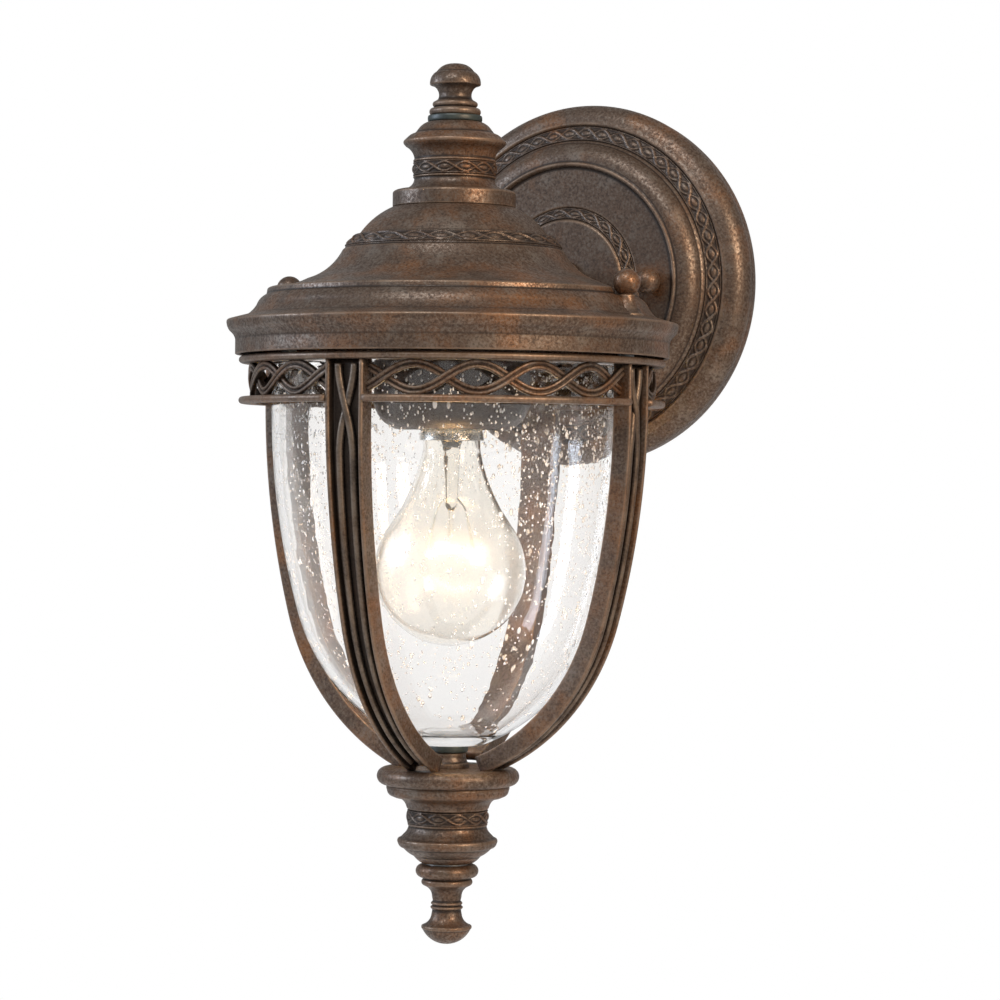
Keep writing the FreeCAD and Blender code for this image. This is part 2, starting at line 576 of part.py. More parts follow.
def lamp_supports():
    """Two lead wires from the stem out to the filament's ends."""
    leads = []
    for side in (-1, 1):
        start = (side * 3.0, 0, STEM_TOP - 29.0)
        end = (side * FILAMENT_SPREAD, 0, FILAMENT_HEIGHT)
        leads.append(routed([start, (side * 6.5, 0, STEM_TOP - 33.0), end], 0.35))
    return to_axis(Part.makeCompound(leads))


def lamp_filament():
    """Coiled filament as one fine curved rod, hung between the lead wires."""
    rise, level, reach = 3.0, FILAMENT_HEIGHT - 0.6, FILAMENT_SPREAD - 0.5
    path = Part.Arc(vec(-reach, 0, level), vec(0, 0, level + rise), vec(reach, 0, level)).toShape()
    start = path.valueAt(path.FirstParameter)
    ring = Part.Wire([Part.Circle(start, path.tangentAt(path.FirstParameter), 0.6).toShape()])
    return to_axis(Part.Wire([path]).makePipeShell([ring], True, False))


def wire(side):
    """One conductor from the lamp holder, up through the roof and along the arm to its terminal."""
    width, height, depth = BLOCK_SIZE
    axis = -WALL_TO_AXIS
    lane = side * (NIPPLE_BORE - WIRE_RADIUS) * 0.7
    terminal = (BLOCK_X - side * width / 4, -(STRAP_THICKNESS + FACE_GAP + BLOCK_WIRE_DEPTH))
    return routed([(side * WIRE_OFFSET, axis, HOLDER_TOP - 2.4),
                   (side * WIRE_OFFSET, axis, CUP_TOP + 10.0),
                   (side * 4.0, axis + 13.0, lane),
                   (0, axis + 30.0, lane),
                   (0, 13.0 - PLATE_DEPTH, lane),
                   (*terminal, 5.0 + 2.0 * side),
                   (*terminal, BLOCK_Z + height / 2 - 4.4)], WIRE_RADIUS)


# ---------------------------------------------------------------- cage
def rib_centres():
    """Centres of a rib's two sweeps in the XZ plane, and the angle at which one takes over."""
    turn = math.asin(RIB_SWEEP_DROP / RIB_SWEEP)
    first = (RIB_RADIUS - RIB_SWEEP, LOWER_RING_FOOT)
    second = (first[0] + (RIB_SWEEP - RIB_FOOT_SWEEP) * math.cos(turn),
              first[1] - (RIB_SWEEP - RIB_FOOT_SWEEP) * math.sin(turn))
    return first, second, turn


def rib_height(radius, inset):
    """Height of the foot sweep, inset from the rib's outer face, at a radius from the axis."""
    centre = rib_centres()[1]
    return centre[1] - math.sqrt((RIB_FOOT_SWEEP - inset) ** 2 - (radius - centre[0]) ** 2)


def rib_line(inset, top, end_radius):
    """Edges down a rib at an inset from its outer face, from top in to end_radius."""
    first, second, turn = rib_centres()
    last = math.acos((end_radius - second[0]) / (RIB_FOOT_SWEEP - inset))

    def on(centre, sweep, angle):
        reach = sweep - inset
        return vec(centre[0] + reach * math.cos(angle), 0, centre[1] - reach * math.sin(angle))

    start, joint = on(first, RIB_SWEEP, 0), on(first, RIB_SWEEP, turn)
    middle, end = on(second, RIB_FOOT_SWEEP, (turn + last) / 2), on(second, RIB_FOOT_SWEEP, last)
    return [
        Part.LineSegment(vec(start.x, 0, top), start).toShape(),
        Part.Arc(start, on(first, RIB_SWEEP, turn / 2), joint).toShape(),
        Part.Arc(joint, middle, end).toShape(),
    ]


def leaning_sides(half_width):
    """Block as wide as a rib's top, narrower by RIB_TAPER a side from the lower ring to the hub."""
    foot = half_width - RIB_TAPER
    points = [vec(0, -half_width, 0), vec(0, -half_width, LOWER_RING_FOOT), vec(0, -foot, HUB_TOP),
              vec(0, -foot, HUB_TOP - 30), vec(0, foot, HUB_TOP - 30), vec(0, foot, HUB_TOP),
              vec(0, half_width, LOWER_RING_FOOT), vec(0, half_width, 0)]
    face = Part.Face(Part.makePolygon(points + points[:1]))
    return face.extrude(vec(2 * RING_RADIUS, 0, 0))


def rib_slab(outer_inset, inner_inset, top, end_radius, width):
    """Bar of the given width between two insets, on the +X side, down to end_radius."""
    outer = rib_line(outer_inset, top, end_radius)
    inner = rib_line(inner_inset, top, end_radius)
    ends = [Part.LineSegment(outer[-1].Vertexes[-1].Point, inner[-1].Vertexes[-1].Point).toShape(),
            Part.LineSegment(outer[0].Vertexes[0].Point, inner[0].Vertexes[0].Point).toShape()]
    face = Part.Face(Part.Wire(Part.__sortEdges__(outer + inner + ends)))
    face.translate(vec(0, -width / 2, 0))
    return face.extrude(vec(0, width, 0))


HUB_TOP = rib_height(RIB_FOOT_RADIUS, 0.0)
RIB_ANGLES = {"right": 0.0, "back": 90.0, "left": 180.0, "front": 270.0}


def placed_round(shape, degrees):
    shape = shape.copy()
    shape.rotate(ORIGIN, UP, degrees)
    return to_axis(shape)


def rib(name):
    """Bar with a channel down its outer face; its foot stands level on the hub."""
    bar = rib_slab(0.0, RIB_DEPTH, RIB_TOP, RIB_END_RADIUS, RIB_WIDTH)
    bar = bar.common(leaning_sides(RIB_WIDTH / 2))
    channel = rib_slab(-1.0, CHANNEL_DEPTH, RIB_TOP - 1.5, RIB_END_RADIUS - 2.0, RIB_WIDTH - 2 * FLANGE)
    bar = bar.cut(channel.common(leaning_sides(RIB_WIDTH / 2 - FLANGE)))
    bar = bar.cut(cylinder(2 * HUB_RADIUS, 50, HUB_TOP + FACE_GAP - 50))
    if name in ("left", "right"):
        bar = bar.cut(cylinder(STUD_RADIUS + HOLE_GAP, 20, RIB_TOP - 8, STUD_OFFSET))
    return placed_round(bar, RIB_ANGLES[name])


def rib_reeds():
    """Two reeds with rounded faces side by side down each rib's channel."""
    floor = CHANNEL_DEPTH - FACE_GAP
    reed = rib_slab(floor - REED_HEIGHT, floor, RIB_TOP - 1.5 - FACE_GAP, HUB_RADIUS - 2.0, REED_WIDTH)
    reed = reed.cut(cylinder(2 * HUB_RADIUS, 50, HUB_TOP + FACE_GAP - 50))
    sides = leaning_sides(REED_OFFSET + REED_WIDTH / 2)
    return Part.makeCompound([placed_round(moved(reed, 0, side * REED_OFFSET, 0).common(sides), angle)
                              for angle in RIB_ANGLES.values() for side in (-1, 1)])


def rounded_bar(inner, foot):
    """Flat ring of the cage's section, with a rounded outer edge."""
    edge = RING_RADIUS - RING_THICKNESS / 2
    return turned((inner, foot + RING_THICKNESS), (edge, foot + RING_THICKNESS),
                  (edge, foot, RING_THICKNESS / 2 - 0.01), (inner, foot))


def upper_ring():
    """Flat ring with a rounded edge; the ribs and the fretwork hang from it."""
    foot = RING_TOP - RING_THICKNESS
    ring = rounded_bar(RING_INNER, foot)
    for side in (-1, 1):
        ring = ring.cut(cylinder(STUD_RADIUS + RUN_GAP, 20, foot - 5, side * STUD_OFFSET))
    return to_axis(ring)


def between_ribs(shape):
    """Cuts the four ribs' widths out of a ring-shaped solid."""
    gap = RIB_WIDTH + 2 * FACE_GAP
    for angle in (0, 90):
        block = Part.makeBox(400, gap, 400, vec(-200, -gap / 2, -300))
        block.rotate(ORIGIN, UP, angle)
        shape = shape.cut(block)
    return shape


def lower_ring():
    """Four lengths of rounded bar, one between each pair of ribs."""
    return to_axis(between_ribs(rounded_bar(FRET_RADIUS - FRET_THICKNESS, LOWER_RING_FOOT)))


def eye_cutter(height, half_width):
    """Lens-shaped prism standing along +X, for one eye of the fretwork."""
    left, right = vec(60, -half_width, 0), vec(60, half_width, 0)
    lens = Part.Wire([Part.Arc(left, vec(60, 0, height), right).toShape(),
                      Part.Arc(right, vec(60, 0, -height), left).toShape()])
    return Part.Face(lens).extrude(vec(40, 0, 0))


def notch_cutter(half_width, edge, depth):
    """Shallow hollow prism at the band's edge, over a crossing."""
    a, b = vec(60, -half_width, edge), vec(60, half_width, edge)
    arc = Part.Arc(a, vec(60, 0, edge - depth), b).toShape()
    return Part.Face(Part.Wire([arc, Part.LineSegment(b, a).toShape()])).extrude(vec(40, 0, 0))


def fretwork_panels():
    """Four openwork panels of two crossing waves, one between each pair of ribs."""
    inner = FRET_RADIUS - FRET_THICKNESS
    height = FRET_TOP - FRET_FOOT - 2 * FACE_GAP
    middle = (FRET_TOP + FRET_FOOT) / 2
    pitch = math.radians(FRET_PITCH_DEG) * FRET_RADIUS
    eye = eye_cutter(height / 2 - STRAND_WIDTH, pitch / 2 - STRAND_WIDTH)
    notch = notch_cutter(pitch / 2 - STRAND_WIDTH, height / 2 + 0.01, height / 2 - STRAND_WIDTH * 0.9)
    below = notch.copy()
    below.rotate(ORIGIN, vec(1, 0, 0), 180)
    cutters = []
    for quarter in range(4):
        for k in range(-1, FRET_EYES + 1):
            turn = 90 * quarter + 45 + (k - (FRET_EYES - 1) / 2) * FRET_PITCH_DEG
            cutters.append((eye, turn))
        for k in range(FRET_EYES + 1):
            turn = 90 * quarter + 45 + (k - FRET_EYES / 2) * FRET_PITCH_DEG
            cutters += [(notch, turn), (below, turn)]
    band = tube(FRET_RADIUS, inner, height, -height / 2)
    for cutter, turn in cutters:
        cutter = cutter.copy()
        cutter.rotate(ORIGIN, UP, turn)
        band = band.cut(cutter)
    return to_axis(raised(between_ribs(band), middle))


def cage_studs():
    """Shouldered studs from the upper ring, up through the roof's bosses."""
    shoulder_top = BOSS_TOP - BOSS_HEIGHT - 3.2
    tip = BOSS_TOP + NUT_BORE - 0.3
    studs = []
    for side in (-1, 1):
        stud = cylinder(STUD_RADIUS, tip - (FRET_TOP - 6.0), FRET_TOP - 6.0, side * STUD_OFFSET)
        foot = RING_TOP + FACE_GAP
        shoulder = cylinder(STUD_RADIUS + STUD_SHOULDER, shoulder_top - foot, foot, side * STUD_OFFSET)
        studs.append(stud.fuse(shoulder))
    return to_axis(Part.makeCompound(studs))


# ---------------------------------------------------------------- glass
GLASS_FOOT = rib_height(GLASS_FOOT_RADIUS, RIB_DEPTH + GLASS_GAP)


def glass_shape(wall, foot):
    """Solid inside the glass's outer face, inset by a wall, down to a level foot."""
    rim = RING_TOP - GLASS_RIM_DROP + (1.0 if wall else 0.0)
    inset = RIB_DEPTH + GLASS_GAP + wall
    edges = rib_line(inset, rim, 1.0)
    side, end = edges[0].Vertexes[0].Point, edges[-1].Vertexes[-1].Point
    corners = [side, vec(0, 0, rim), vec(0, 0, end.z), end]
    edges += [Part.LineSegment(a, b).toShape() for a, b in zip(corners, corners[1:])]
    bowl = Part.Face(Part.Wire(Part.__sortEdges__(edges))).revolve(ORIGIN, UP, 360)
    return bowl.cut(cylinder(RIB_RADIUS, 60, foot - 60))


def glass_bowl():
    """Open glass bowl with a thick level foot."""
    return to_axis(glass_shape(0.0, GLASS_FOOT).cut(glass_shape(GLASS_WALL, GLASS_FOOT + GLASS_BASE)))


def glass_cushion():
    """Black rubber pad that the glass stands on."""
    seat, rim = GLASS_FOOT - FACE_GAP, CUSHION_RADIUS
    foot = seat - CUSHION_HEIGHT
    return to_axis(turned((0, seat), (rim - 0.4, seat), (rim, seat - 0.6, 0.1), (rim, foot + 0.5),
                          (rim - 0.5, foot, 0.1), (0, foot)))


def glass_post():
    """Short turned post on the hub that carries the cushion."""
    top = GLASS_FOOT - CUSHION_HEIGHT - 2 * FACE_GAP
    foot = HUB_TOP
    post = turned((0, top), (POST_RADIUS, top), (POST_RADIUS + 0.5, foot + 3.0, -0.2),
                  (POST_RADIUS + 1.4, foot + 1.6, -0.3), (POST_RADIUS + 1.4, foot + FACE_GAP),
                  (0, foot + FACE_GAP))
    return to_axis(post.cut(cylinder(ROD_RADIUS + RUN_GAP, top - foot - 2.0, foot - 1.0)))


# ---------------------------------------------------------------- hub, cup and lower finial
CUP_SEAT = HUB_TOP - HUB_HEIGHT
LOWER_SEAT = CUP_SEAT - CUP_HEIGHT


def hub_disc():
    """Round-edged disc that the ribs' feet stand on."""
    foot = HUB_TOP - HUB_HEIGHT
    disc = turned((0, HUB_TOP), (HUB_RADIUS - 3.0, HUB_TOP), (HUB_RADIUS - 2.4, foot, 3.0), (0, foot))
    return to_axis(disc.cut(cylinder(ROD_RADIUS + HOLE_GAP, 20, foot - 5)))


def lower_cup():
    """Waisted cup below the hub, drawn from its top down."""
    top = CUP_SEAT - FACE_GAP
    foot = LOWER_SEAT

    def at(radius, below, *bulge):
        return (radius, CUP_SEAT - below, *bulge)

    cup = turned((0, top), (24.2, top), at(24.2, 2.2, 0.3), at(23.0, 4.3, 0.3), at(21.4, 4.7),
                 at(16.4, 9.0, -1.4), at(15.9, 9.6), at(15.9, 15.4), at(15.5, 15.8),
                 at(17.5, 19.8, -0.4), at(19.6, 21.4, -0.1), at(19.7, 23.1, 0.3), at(18.6, 24.8, 0.2),
                 at(14.4, 27.8, 0.2), at(10.6, CUP_HEIGHT - 0.2, 0.2),
                 (10.2, foot), (0, foot))
    hollow = turned((0, CUP_SEAT - 3.0), (20.0, CUP_SEAT - 3.0), at(13.0, 9.0, -1.0), at(12.6, 16.0),
                    at(14.0, 22.0), at(8.0, 28.0), at(0, 28.0))
    return to_axis(cup.cut(hollow).cut(cylinder(ROD_RADIUS + HOLE_GAP, 60, foot - 5)))


def lower_washer():
    seat = LOWER_SEAT - FACE_GAP
    return to_axis(tube(8.6, ROD_RADIUS + HOLE_GAP, LOWER_WASHER, seat - LOWER_WASHER))


FINIAL_TOP = LOWER_SEAT - LOWER_WASHER - 2 * FACE_GAP


def lower_finial():
    """Turned drop: bead, small bead, waist with two lines, and a round tip."""
    def at(radius, below, *bulge):
        return (radius, FINIAL_TOP - below, *bulge)

    drop = turned(at(0, 0), at(10.2, 0), at(10.2, 5.2, 2.3), at(9.4, 5.5), at(9.2, 8.4, 0.9),
                  at(5.9, 12.8, -0.7), at(5.6, 15.2), at(5.6, 16.6, 0.4), at(5.7, 18.0, 0.4), at(6.1, 20.4),
                  at(9.9, 24.5, -0.7), at(9.9, 25.4, 0.2), at(1.5, LOWER_FINIAL_HEIGHT, 1.3),
                  at(0, LOWER_FINIAL_HEIGHT))
    return to_axis(drop.cut(cylinder(ROD_RADIUS + RUN_GAP, FINIAL_THREAD + 1, FINIAL_TOP - FINIAL_THREAD)))


def cage_rod():
    """Rod from the post, through the hub and cup, into the lower finial."""
    top = GLASS_FOOT - CUSHION_HEIGHT - 6.0
    foot = FINIAL_TOP - FINIAL_THREAD + 1.0
    return to_axis(cylinder(ROD_RADIUS, top - foot, foot))


def cage_rod_nut():
    """Nut inside the cup that clamps the cup, hub and post."""
    seat = CUP_SEAT - 3.0 - FACE_GAP
    return to_axis(hexagon(2 * (ROD_RADIUS + 2.0), 3.0, seat - 3.0, ROD_RADIUS + RUN_GAP))


# ---------------------------------------------------------------- ball nuts on the studs
def plate_ball_nut(side):
    return to_wall(raised(ball_nut(), DISC_FACE + FACE_GAP), side * PLATE_STUD_OFFSET)


def roof_ball_nut(side):
    return to_axis(moved(ball_nut(), side * STUD_OFFSET, 0, BOSS_TOP + FACE_GAP))


PIECES = {
    "wall_plate": wall_plate,
    "wall_gasket": wall_gasket,
    "crossbar": crossbar,
    "crossbar_studs": crossbar_studs,
    "stud_locknuts": stud_locknuts,
    "ground_screw": ground_screw,
    "terminal_block": terminal_block,
    "arm_tube": arm_tube,
    "arm_nipple": arm_nipple,
    "arm_locknuts": arm_locknuts,
    "roof": roof,
    "crown": crown,
    "top_washer": top_washer,
    "top_finial": top_finial,
    "centre_rod": centre_rod,
    "centre_rod_nuts": centre_rod_nuts,
    "holder_cup": holder_cup,
    "holder_body": holder_body,
    "holder_sleeve": holder_sleeve,
    "holder_contact": holder_contact,
    "lamp_cap": lamp_cap,
    "lamp_insulator": lamp_insulator,
    "lamp_tip": lamp_tip,
    "lamp_glass": lamp_glass,
    "lamp_stem": lamp_stem,
    "lamp_supports": lamp_supports,
    "lamp_filament": lamp_filament,
    "wire_live": lambda: wire(1),
    "wire_neutral": lambda: wire(-1),
    "upper_ring": upper_ring,
    "lower_ring": lower_ring,
    "fretwork_panels": fretwork_panels,
    "rib_reeds": rib_reeds,
    "cage_studs": cage_studs,
    "glass_bowl": glass_bowl,
    "glass_cushion": glass_cushion,
    "glass_post": glass_post,
    "hub_disc": hub_disc,
    "lower_cup": lower_cup,
    "cage_rod": cage_rod,
    "cage_rod_nut": cage_rod_nut,
    "lower_washer": lower_washer,
    "lower_finial": lower_finial,
}
for place in RIB_ANGLES:
    PIECES["rib_" + place] = lambda place=place: rib(place)
for place, way in (("left", -1), ("right", 1)):
    PIECES["plate_ball_nut_" + place] = lambda way=way: plate_ball_nut(way)
    PIECES["roof_ball_nut_" + place] = lambda way=way: roof_ball_nut(way)


def main():
    os.makedirs("parts", exist_ok=True)
    for name, build in PIECES.items():
        shape = build()
        if not shape.isValid() or not shape.Solids:
            raise RuntimeError(name + " is not a valid solid")
        shape.exportStep("parts/" + name + ".step")
        print(name, len(shape.Solids), "solids", round(shape.Volume, 1), "mm3")


main()
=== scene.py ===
"""Looks of an outdoor wall lantern: hand-rubbed bronze castings, braid mouldings, openwork
fretwork, a seeded glass bowl and a lit clear lamp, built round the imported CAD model."""

import json
import logging
import math
from dataclasses import dataclass, field
from enum import Enum

import bpy
import numpy as np
from mathutils import Matrix, Vector


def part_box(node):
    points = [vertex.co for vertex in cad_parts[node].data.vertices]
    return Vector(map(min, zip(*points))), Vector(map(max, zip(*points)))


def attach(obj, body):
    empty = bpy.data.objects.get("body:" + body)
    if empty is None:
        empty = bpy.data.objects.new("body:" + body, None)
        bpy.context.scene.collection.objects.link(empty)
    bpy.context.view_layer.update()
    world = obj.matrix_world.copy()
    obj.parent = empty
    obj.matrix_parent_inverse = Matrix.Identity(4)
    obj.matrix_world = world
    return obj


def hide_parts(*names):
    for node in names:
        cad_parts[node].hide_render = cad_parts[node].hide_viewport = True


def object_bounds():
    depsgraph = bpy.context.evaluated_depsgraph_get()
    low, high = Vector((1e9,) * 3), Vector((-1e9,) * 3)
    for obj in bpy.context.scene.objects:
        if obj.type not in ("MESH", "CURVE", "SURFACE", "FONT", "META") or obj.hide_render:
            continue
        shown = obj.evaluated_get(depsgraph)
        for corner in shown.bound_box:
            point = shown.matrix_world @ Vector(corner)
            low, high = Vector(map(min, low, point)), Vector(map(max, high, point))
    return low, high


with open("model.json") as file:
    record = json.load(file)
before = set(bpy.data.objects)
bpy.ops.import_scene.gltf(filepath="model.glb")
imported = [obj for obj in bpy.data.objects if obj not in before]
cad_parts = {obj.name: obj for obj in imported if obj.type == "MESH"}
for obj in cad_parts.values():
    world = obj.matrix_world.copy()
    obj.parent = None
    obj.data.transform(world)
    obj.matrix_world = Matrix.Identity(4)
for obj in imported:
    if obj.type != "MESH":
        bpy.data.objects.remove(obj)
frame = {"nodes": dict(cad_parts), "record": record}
CAD_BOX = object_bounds()

LOG = logging.getLogger("wall_lantern")
MM = 0.001
TAU = 2.0 * math.pi
ARC_GAP = 0.25          # mm between samples of an arc
SAMPLE_GAP = 0.06       # mm between the even samples on which corners are rounded
# edge value: above 0 gives rubbed wear and painted highlight, below 0 painted shade
EDGE_VALUE_SPAN = 9           # samples over which an edge's bend is averaged
EDGE_VALUE_GAIN = 0.8         # edge value of a bend with a radius of 1 mm

Array = np.ndarray
Step = tuple[float, ...]
Fed = bpy.types.NodeSocket | float | tuple[float, ...]


# ---------------------------------------------------------------- outlines in millimetres
def traced(start: Step, *steps: Step) -> Array:
    """Samples an outline of lines and arcs.

    A step (r, z) is a straight line. A step (r, z, bulge) is an arc whose middle stands bulge
    to the left of its chord: point = centre + radius * (cos a, sin a), a even along the arc.

    Args:
        start: first point (r, z).
        steps: the points after it, each with an optional bulge.

    Returns:
        Points (n, 2) in millimetres, with each corner once.
    """
    runs, here = [np.array([start[:2]], float)], np.array(start[:2], float)
    for step in steps:
        there = np.array(step[:2], float)
        chord = there - here
        length = float(np.hypot(*chord))
        if len(step) == 2 or abs(step[2]) < 1e-6:
            runs.append(there[None, :])
        else:
            left = np.array([-chord[1], chord[0]]) / length
            bulge = step[2]
            radius = (length ** 2 / 4 + bulge ** 2) / (2 * bulge)
            centre = (here + there) / 2 + left * (bulge - radius)
            first = math.atan2(here[1] - centre[1], here[0] - centre[0])
            last = math.atan2(there[1] - centre[1], there[0] - centre[0])
            sweep = (last - first + math.pi) % TAU - math.pi
            if abs(bulge) > length / 2:
                sweep -= math.copysign(TAU, sweep)
            count = max(6, int(abs(radius * sweep) / ARC_GAP))
            angles = first + sweep * np.arange(1, count + 1) / count
            runs.append(centre + abs(radius) * np.stack([np.cos(angles), np.sin(angles)], 1))
        here = there
    return np.concatenate(runs)


def evened(points: Array, closed: bool, gap: float) -> Array:
    """Places points at equal distances along a polyline: linear interpolation over its length.

    Args:
        points: the polyline's corners (n, k).
        closed: True for a loop.
        gap: about the distance between the new points.

    Returns:
        Points (m, k), without the first one again at a loop's end.
    """
    path = np.vstack([points, points[:1]]) if closed else points
    length = np.concatenate([[0.0], np.cumsum(np.linalg.norm(np.diff(path, axis=0), axis=1))])
    count = max(8, int(round(length[-1] / gap)))
    at = np.linspace(0.0, length[-1], count, endpoint=not closed)
    return np.stack([np.interp(at, length, path[:, k]) for k in range(path.shape[1])], 1)


@dataclass(frozen=True)
class Outline:
    """A rounded outline ready to be turned or swept, with its edge value at each point."""

    points: Array
    edge: Array
    closed: bool


def rounded(points: Array, closed: bool, corner: float = 0.22, turn: float = 7.0,
            gap: float = 2.5) -> Outline:
    """Rounds an outline's corners and keeps only the points that its shape needs.

    The outline is sampled evenly and averaged along its length with a bell-shaped weight as wide
    as the corner's radius. Points are kept at equal steps of length / gap + turned angle / turn.
    An open outline runs from the axis to the axis and is mirrored there, so its poles stay level.

    Args:
        points: outline (n, 2) in millimetres.
        closed: True for a loop.
        corner: about the radius that a sharp corner gets.
        turn: the largest turn, in degrees, between neighbouring points.
        gap: the largest distance between neighbouring points.

    Returns:
        The rounded outline. Its edge value is above 0 on outer corners and below 0 in hollows.
    """
    fine = evened(points, closed, SAMPLE_GAP)
    reach = max(2, int(round(3 * corner / SAMPLE_GAP)))
    weight = np.exp(-0.5 * (np.arange(-reach, reach + 1) * SAMPLE_GAP / corner) ** 2)
    weight /= weight.sum()
    if closed:
        spread = np.concatenate([fine[-reach:], fine, fine[:reach]])
    else:
        flip = np.array([-1.0, 1.0])
        spread = np.concatenate([fine[reach:0:-1] * flip, fine, fine[-2:-reach - 2:-1] * flip])
    smooth = np.stack([np.convolve(spread[:, k], weight, "valid") for k in (0, 1)], 1)
    if not closed:
        smooth[0, 0] = smooth[-1, 0] = 0.0
    step = np.gradient(smooth, axis=0)
    if closed:
        step = (np.roll(smooth, -1, 0) - np.roll(smooth, 1, 0)) / 2
    angle = np.unwrap(np.arctan2(step[:, 1], step[:, 0]))
    size = np.linalg.norm(step, axis=1)
    bend = np.gradient(angle) / np.maximum(size, 1e-9)
    if closed:
        bend[0] = bend[-1] = bend[1]
    after = np.roll(smooth, -1, 0)
    area = float(np.sum(smooth[:, 0] * after[:, 1] - after[:, 0] * smooth[:, 1]))
    bend = bend if area > 0 else -bend
    pace = size / gap + np.abs(bend) * size / math.radians(turn)
    total = np.concatenate([[0.0], np.cumsum(pace)])[:-1]
    last = total[-1] + (pace[-1] if closed else 0.0)
    count = max(8, int(math.ceil(last)))
    at = np.linspace(0.0, last, count, endpoint=not closed)
    index = np.interp(at, total, np.arange(len(total)))
    kept = np.stack([np.interp(index, np.arange(len(smooth)), smooth[:, k]) for k in (0, 1)], 1)
    padded = np.pad(bend, EDGE_VALUE_SPAN // 2, mode="wrap" if closed else "edge")
    edge_wear_and_light = np.convolve(padded, np.ones(EDGE_VALUE_SPAN) / EDGE_VALUE_SPAN, "valid")
    edge = np.interp(index, np.arange(len(edge_wear_and_light)), edge_wear_and_light) * EDGE_VALUE_GAIN
    return Outline(kept, np.clip(edge, -1, 1), closed)


# ---------------------------------------------------------------- meshes
def facing_out(points: Array, faces: list[Array]) -> list[Array]:
    """Turns every face round if together they enclose less than nothing.

    Six times the enclosed volume is the sum of a . (b x c) over triangles that join each face's
    first corner to the pairs of corners after it.

    Args:
        points: places (n, 3).
        faces: arrays of shape (count, corners) with corner indices.

    Returns:
        The faces, with their corners the right way round.
    """
    triangles = np.concatenate([np.stack([f[:, 0], f[:, k], f[:, k + 1]], 1)
                                for f in faces for k in range(1, f.shape[1] - 1)])
    a, b, c = (points[triangles[:, k]] for k in range(3))
    inside_out = float(np.sum(a * np.cross(b, c))) < 0
    return [f[:, ::-1] for f in faces] if inside_out else faces


def add_mesh(name: str, points: Array, faces: list[Array],
             edge: Array | None = None) -> bpy.types.Object:
    """Puts numpy points and faces into a new object at the origin, with outward faces.

    Args:
        name: the piece's name.
        points: places (n, 3) in metres.
        faces: arrays of shape (count, corners) with corner indices.
        edge: value per point for rubbed wear and painted highlight on edges and painted shade in hollows, or
            None.

    Returns:
        The linked object, shaded smooth.
    """
    faces = facing_out(points, faces)
    mesh = bpy.data.meshes.new(name)
    corners = np.concatenate([f.ravel() for f in faces]).astype(np.int32)
    sizes = np.concatenate([np.full(len(f), f.shape[1], np.int32) for f in faces])
    starts = np.concatenate([[0], np.cumsum(sizes)[:-1]]).astype(np.int32)
    mesh.vertices.add(len(points))
    mesh.vertices.foreach_set("co", np.ascontiguousarray(points, np.float32).ravel())
    mesh.loops.add(len(corners))
    mesh.loops.foreach_set("vertex_index", corners)
    mesh.polygons.add(len(sizes))
    mesh.polygons.foreach_set("loop_start", starts)
    mesh.update(calc_edges=True)
    mesh.validate()
    mesh.shade_smooth()
    values = np.zeros(len(points), np.float32) if edge is None else edge.astype(np.float32)
    mesh.attributes.new("edge", "FLOAT", "POINT").data.foreach_set("value", values)
    obj = bpy.data.objects.new(name, mesh)
    bpy.context.scene.collection.objects.link(obj)
    return obj


@dataclass
class Surface:
    """Points and faces gathered from several shapes that make one piece."""

    points: list[Array] = field(default_factory=list)
    faces: list[Array] = field(default_factory=list)
    edge: list[Array] = field(default_factory=list)
    count: int = 0

    def take(self, points: Array, faces: list[Array], edge: Array) -> None:
        """Adds one closed shape, turned outwards.

        Args:
            points: places (n, 3) in metres.
            faces: arrays of shape (count, corners) with corner indices.
            edge: value per point.
        """
        self.points.append(points)
        self.edge.append(edge)
        self.faces += [f + self.count for f in facing_out(points, faces)]
        self.count += len(points)

    def grid(self, rows: Array, edge: Array, wrap_rows: bool, cap: bool = True) -> None:
        """Adds a grid (m, n, 3) whose second direction is a loop.

        Args:
            rows: places in millimetres.
            edge: value per point (m, n).
            wrap_rows: True if the first direction is a loop too.
            cap: closes the first and last row with one face each when rows don't wrap.
        """
        m, n = rows.shape[:2]
        index = np.arange(m * n).reshape(m, n)
        right = np.roll(index, -1, 1)
        low, high = (index, np.roll(index, -1, 0)) if wrap_rows else (index[:-1], index[1:])
        low_r, high_r = (right, np.roll(right, -1, 0)) if wrap_rows else (right[:-1], right[1:])
        faces = [np.stack([low, low_r, high_r, high], -1).reshape(-1, 4)]
        if cap and not wrap_rows:
            faces += [index[0][None, ::-1], index[-1][None, :]]
        self.take(rows.reshape(-1, 3) * MM, faces, edge.ravel())

    def build(self, name: str) -> bpy.types.Object:
        """Makes the object."""
        return add_mesh(name, np.concatenate(self.points), self.faces, np.concatenate(self.edge))


class Way(Enum):
    """Which way an outline's height runs."""

    UP = "up the lantern"
    OUT = "out from the wall"


def placed(x: Array, y: Array, h: Array, way: Way, at: Step) -> Array:
    """Carries local places to the object: UP keeps h as z; OUT lays h along -Y.

    Args:
        x: place across.
        y: place along the second direction of the turned circle.
        h: height along the axis.
        way: which way the axis runs.
        at: the axis's foot.

    Returns:
        Places (..., 3), all in millimetres.
    """
    if way is Way.UP:
        return np.stack([x + at[0], y + at[1], h + at[2]], -1)
    return np.stack([x + at[0], at[1] - h, y + at[2]], -1)


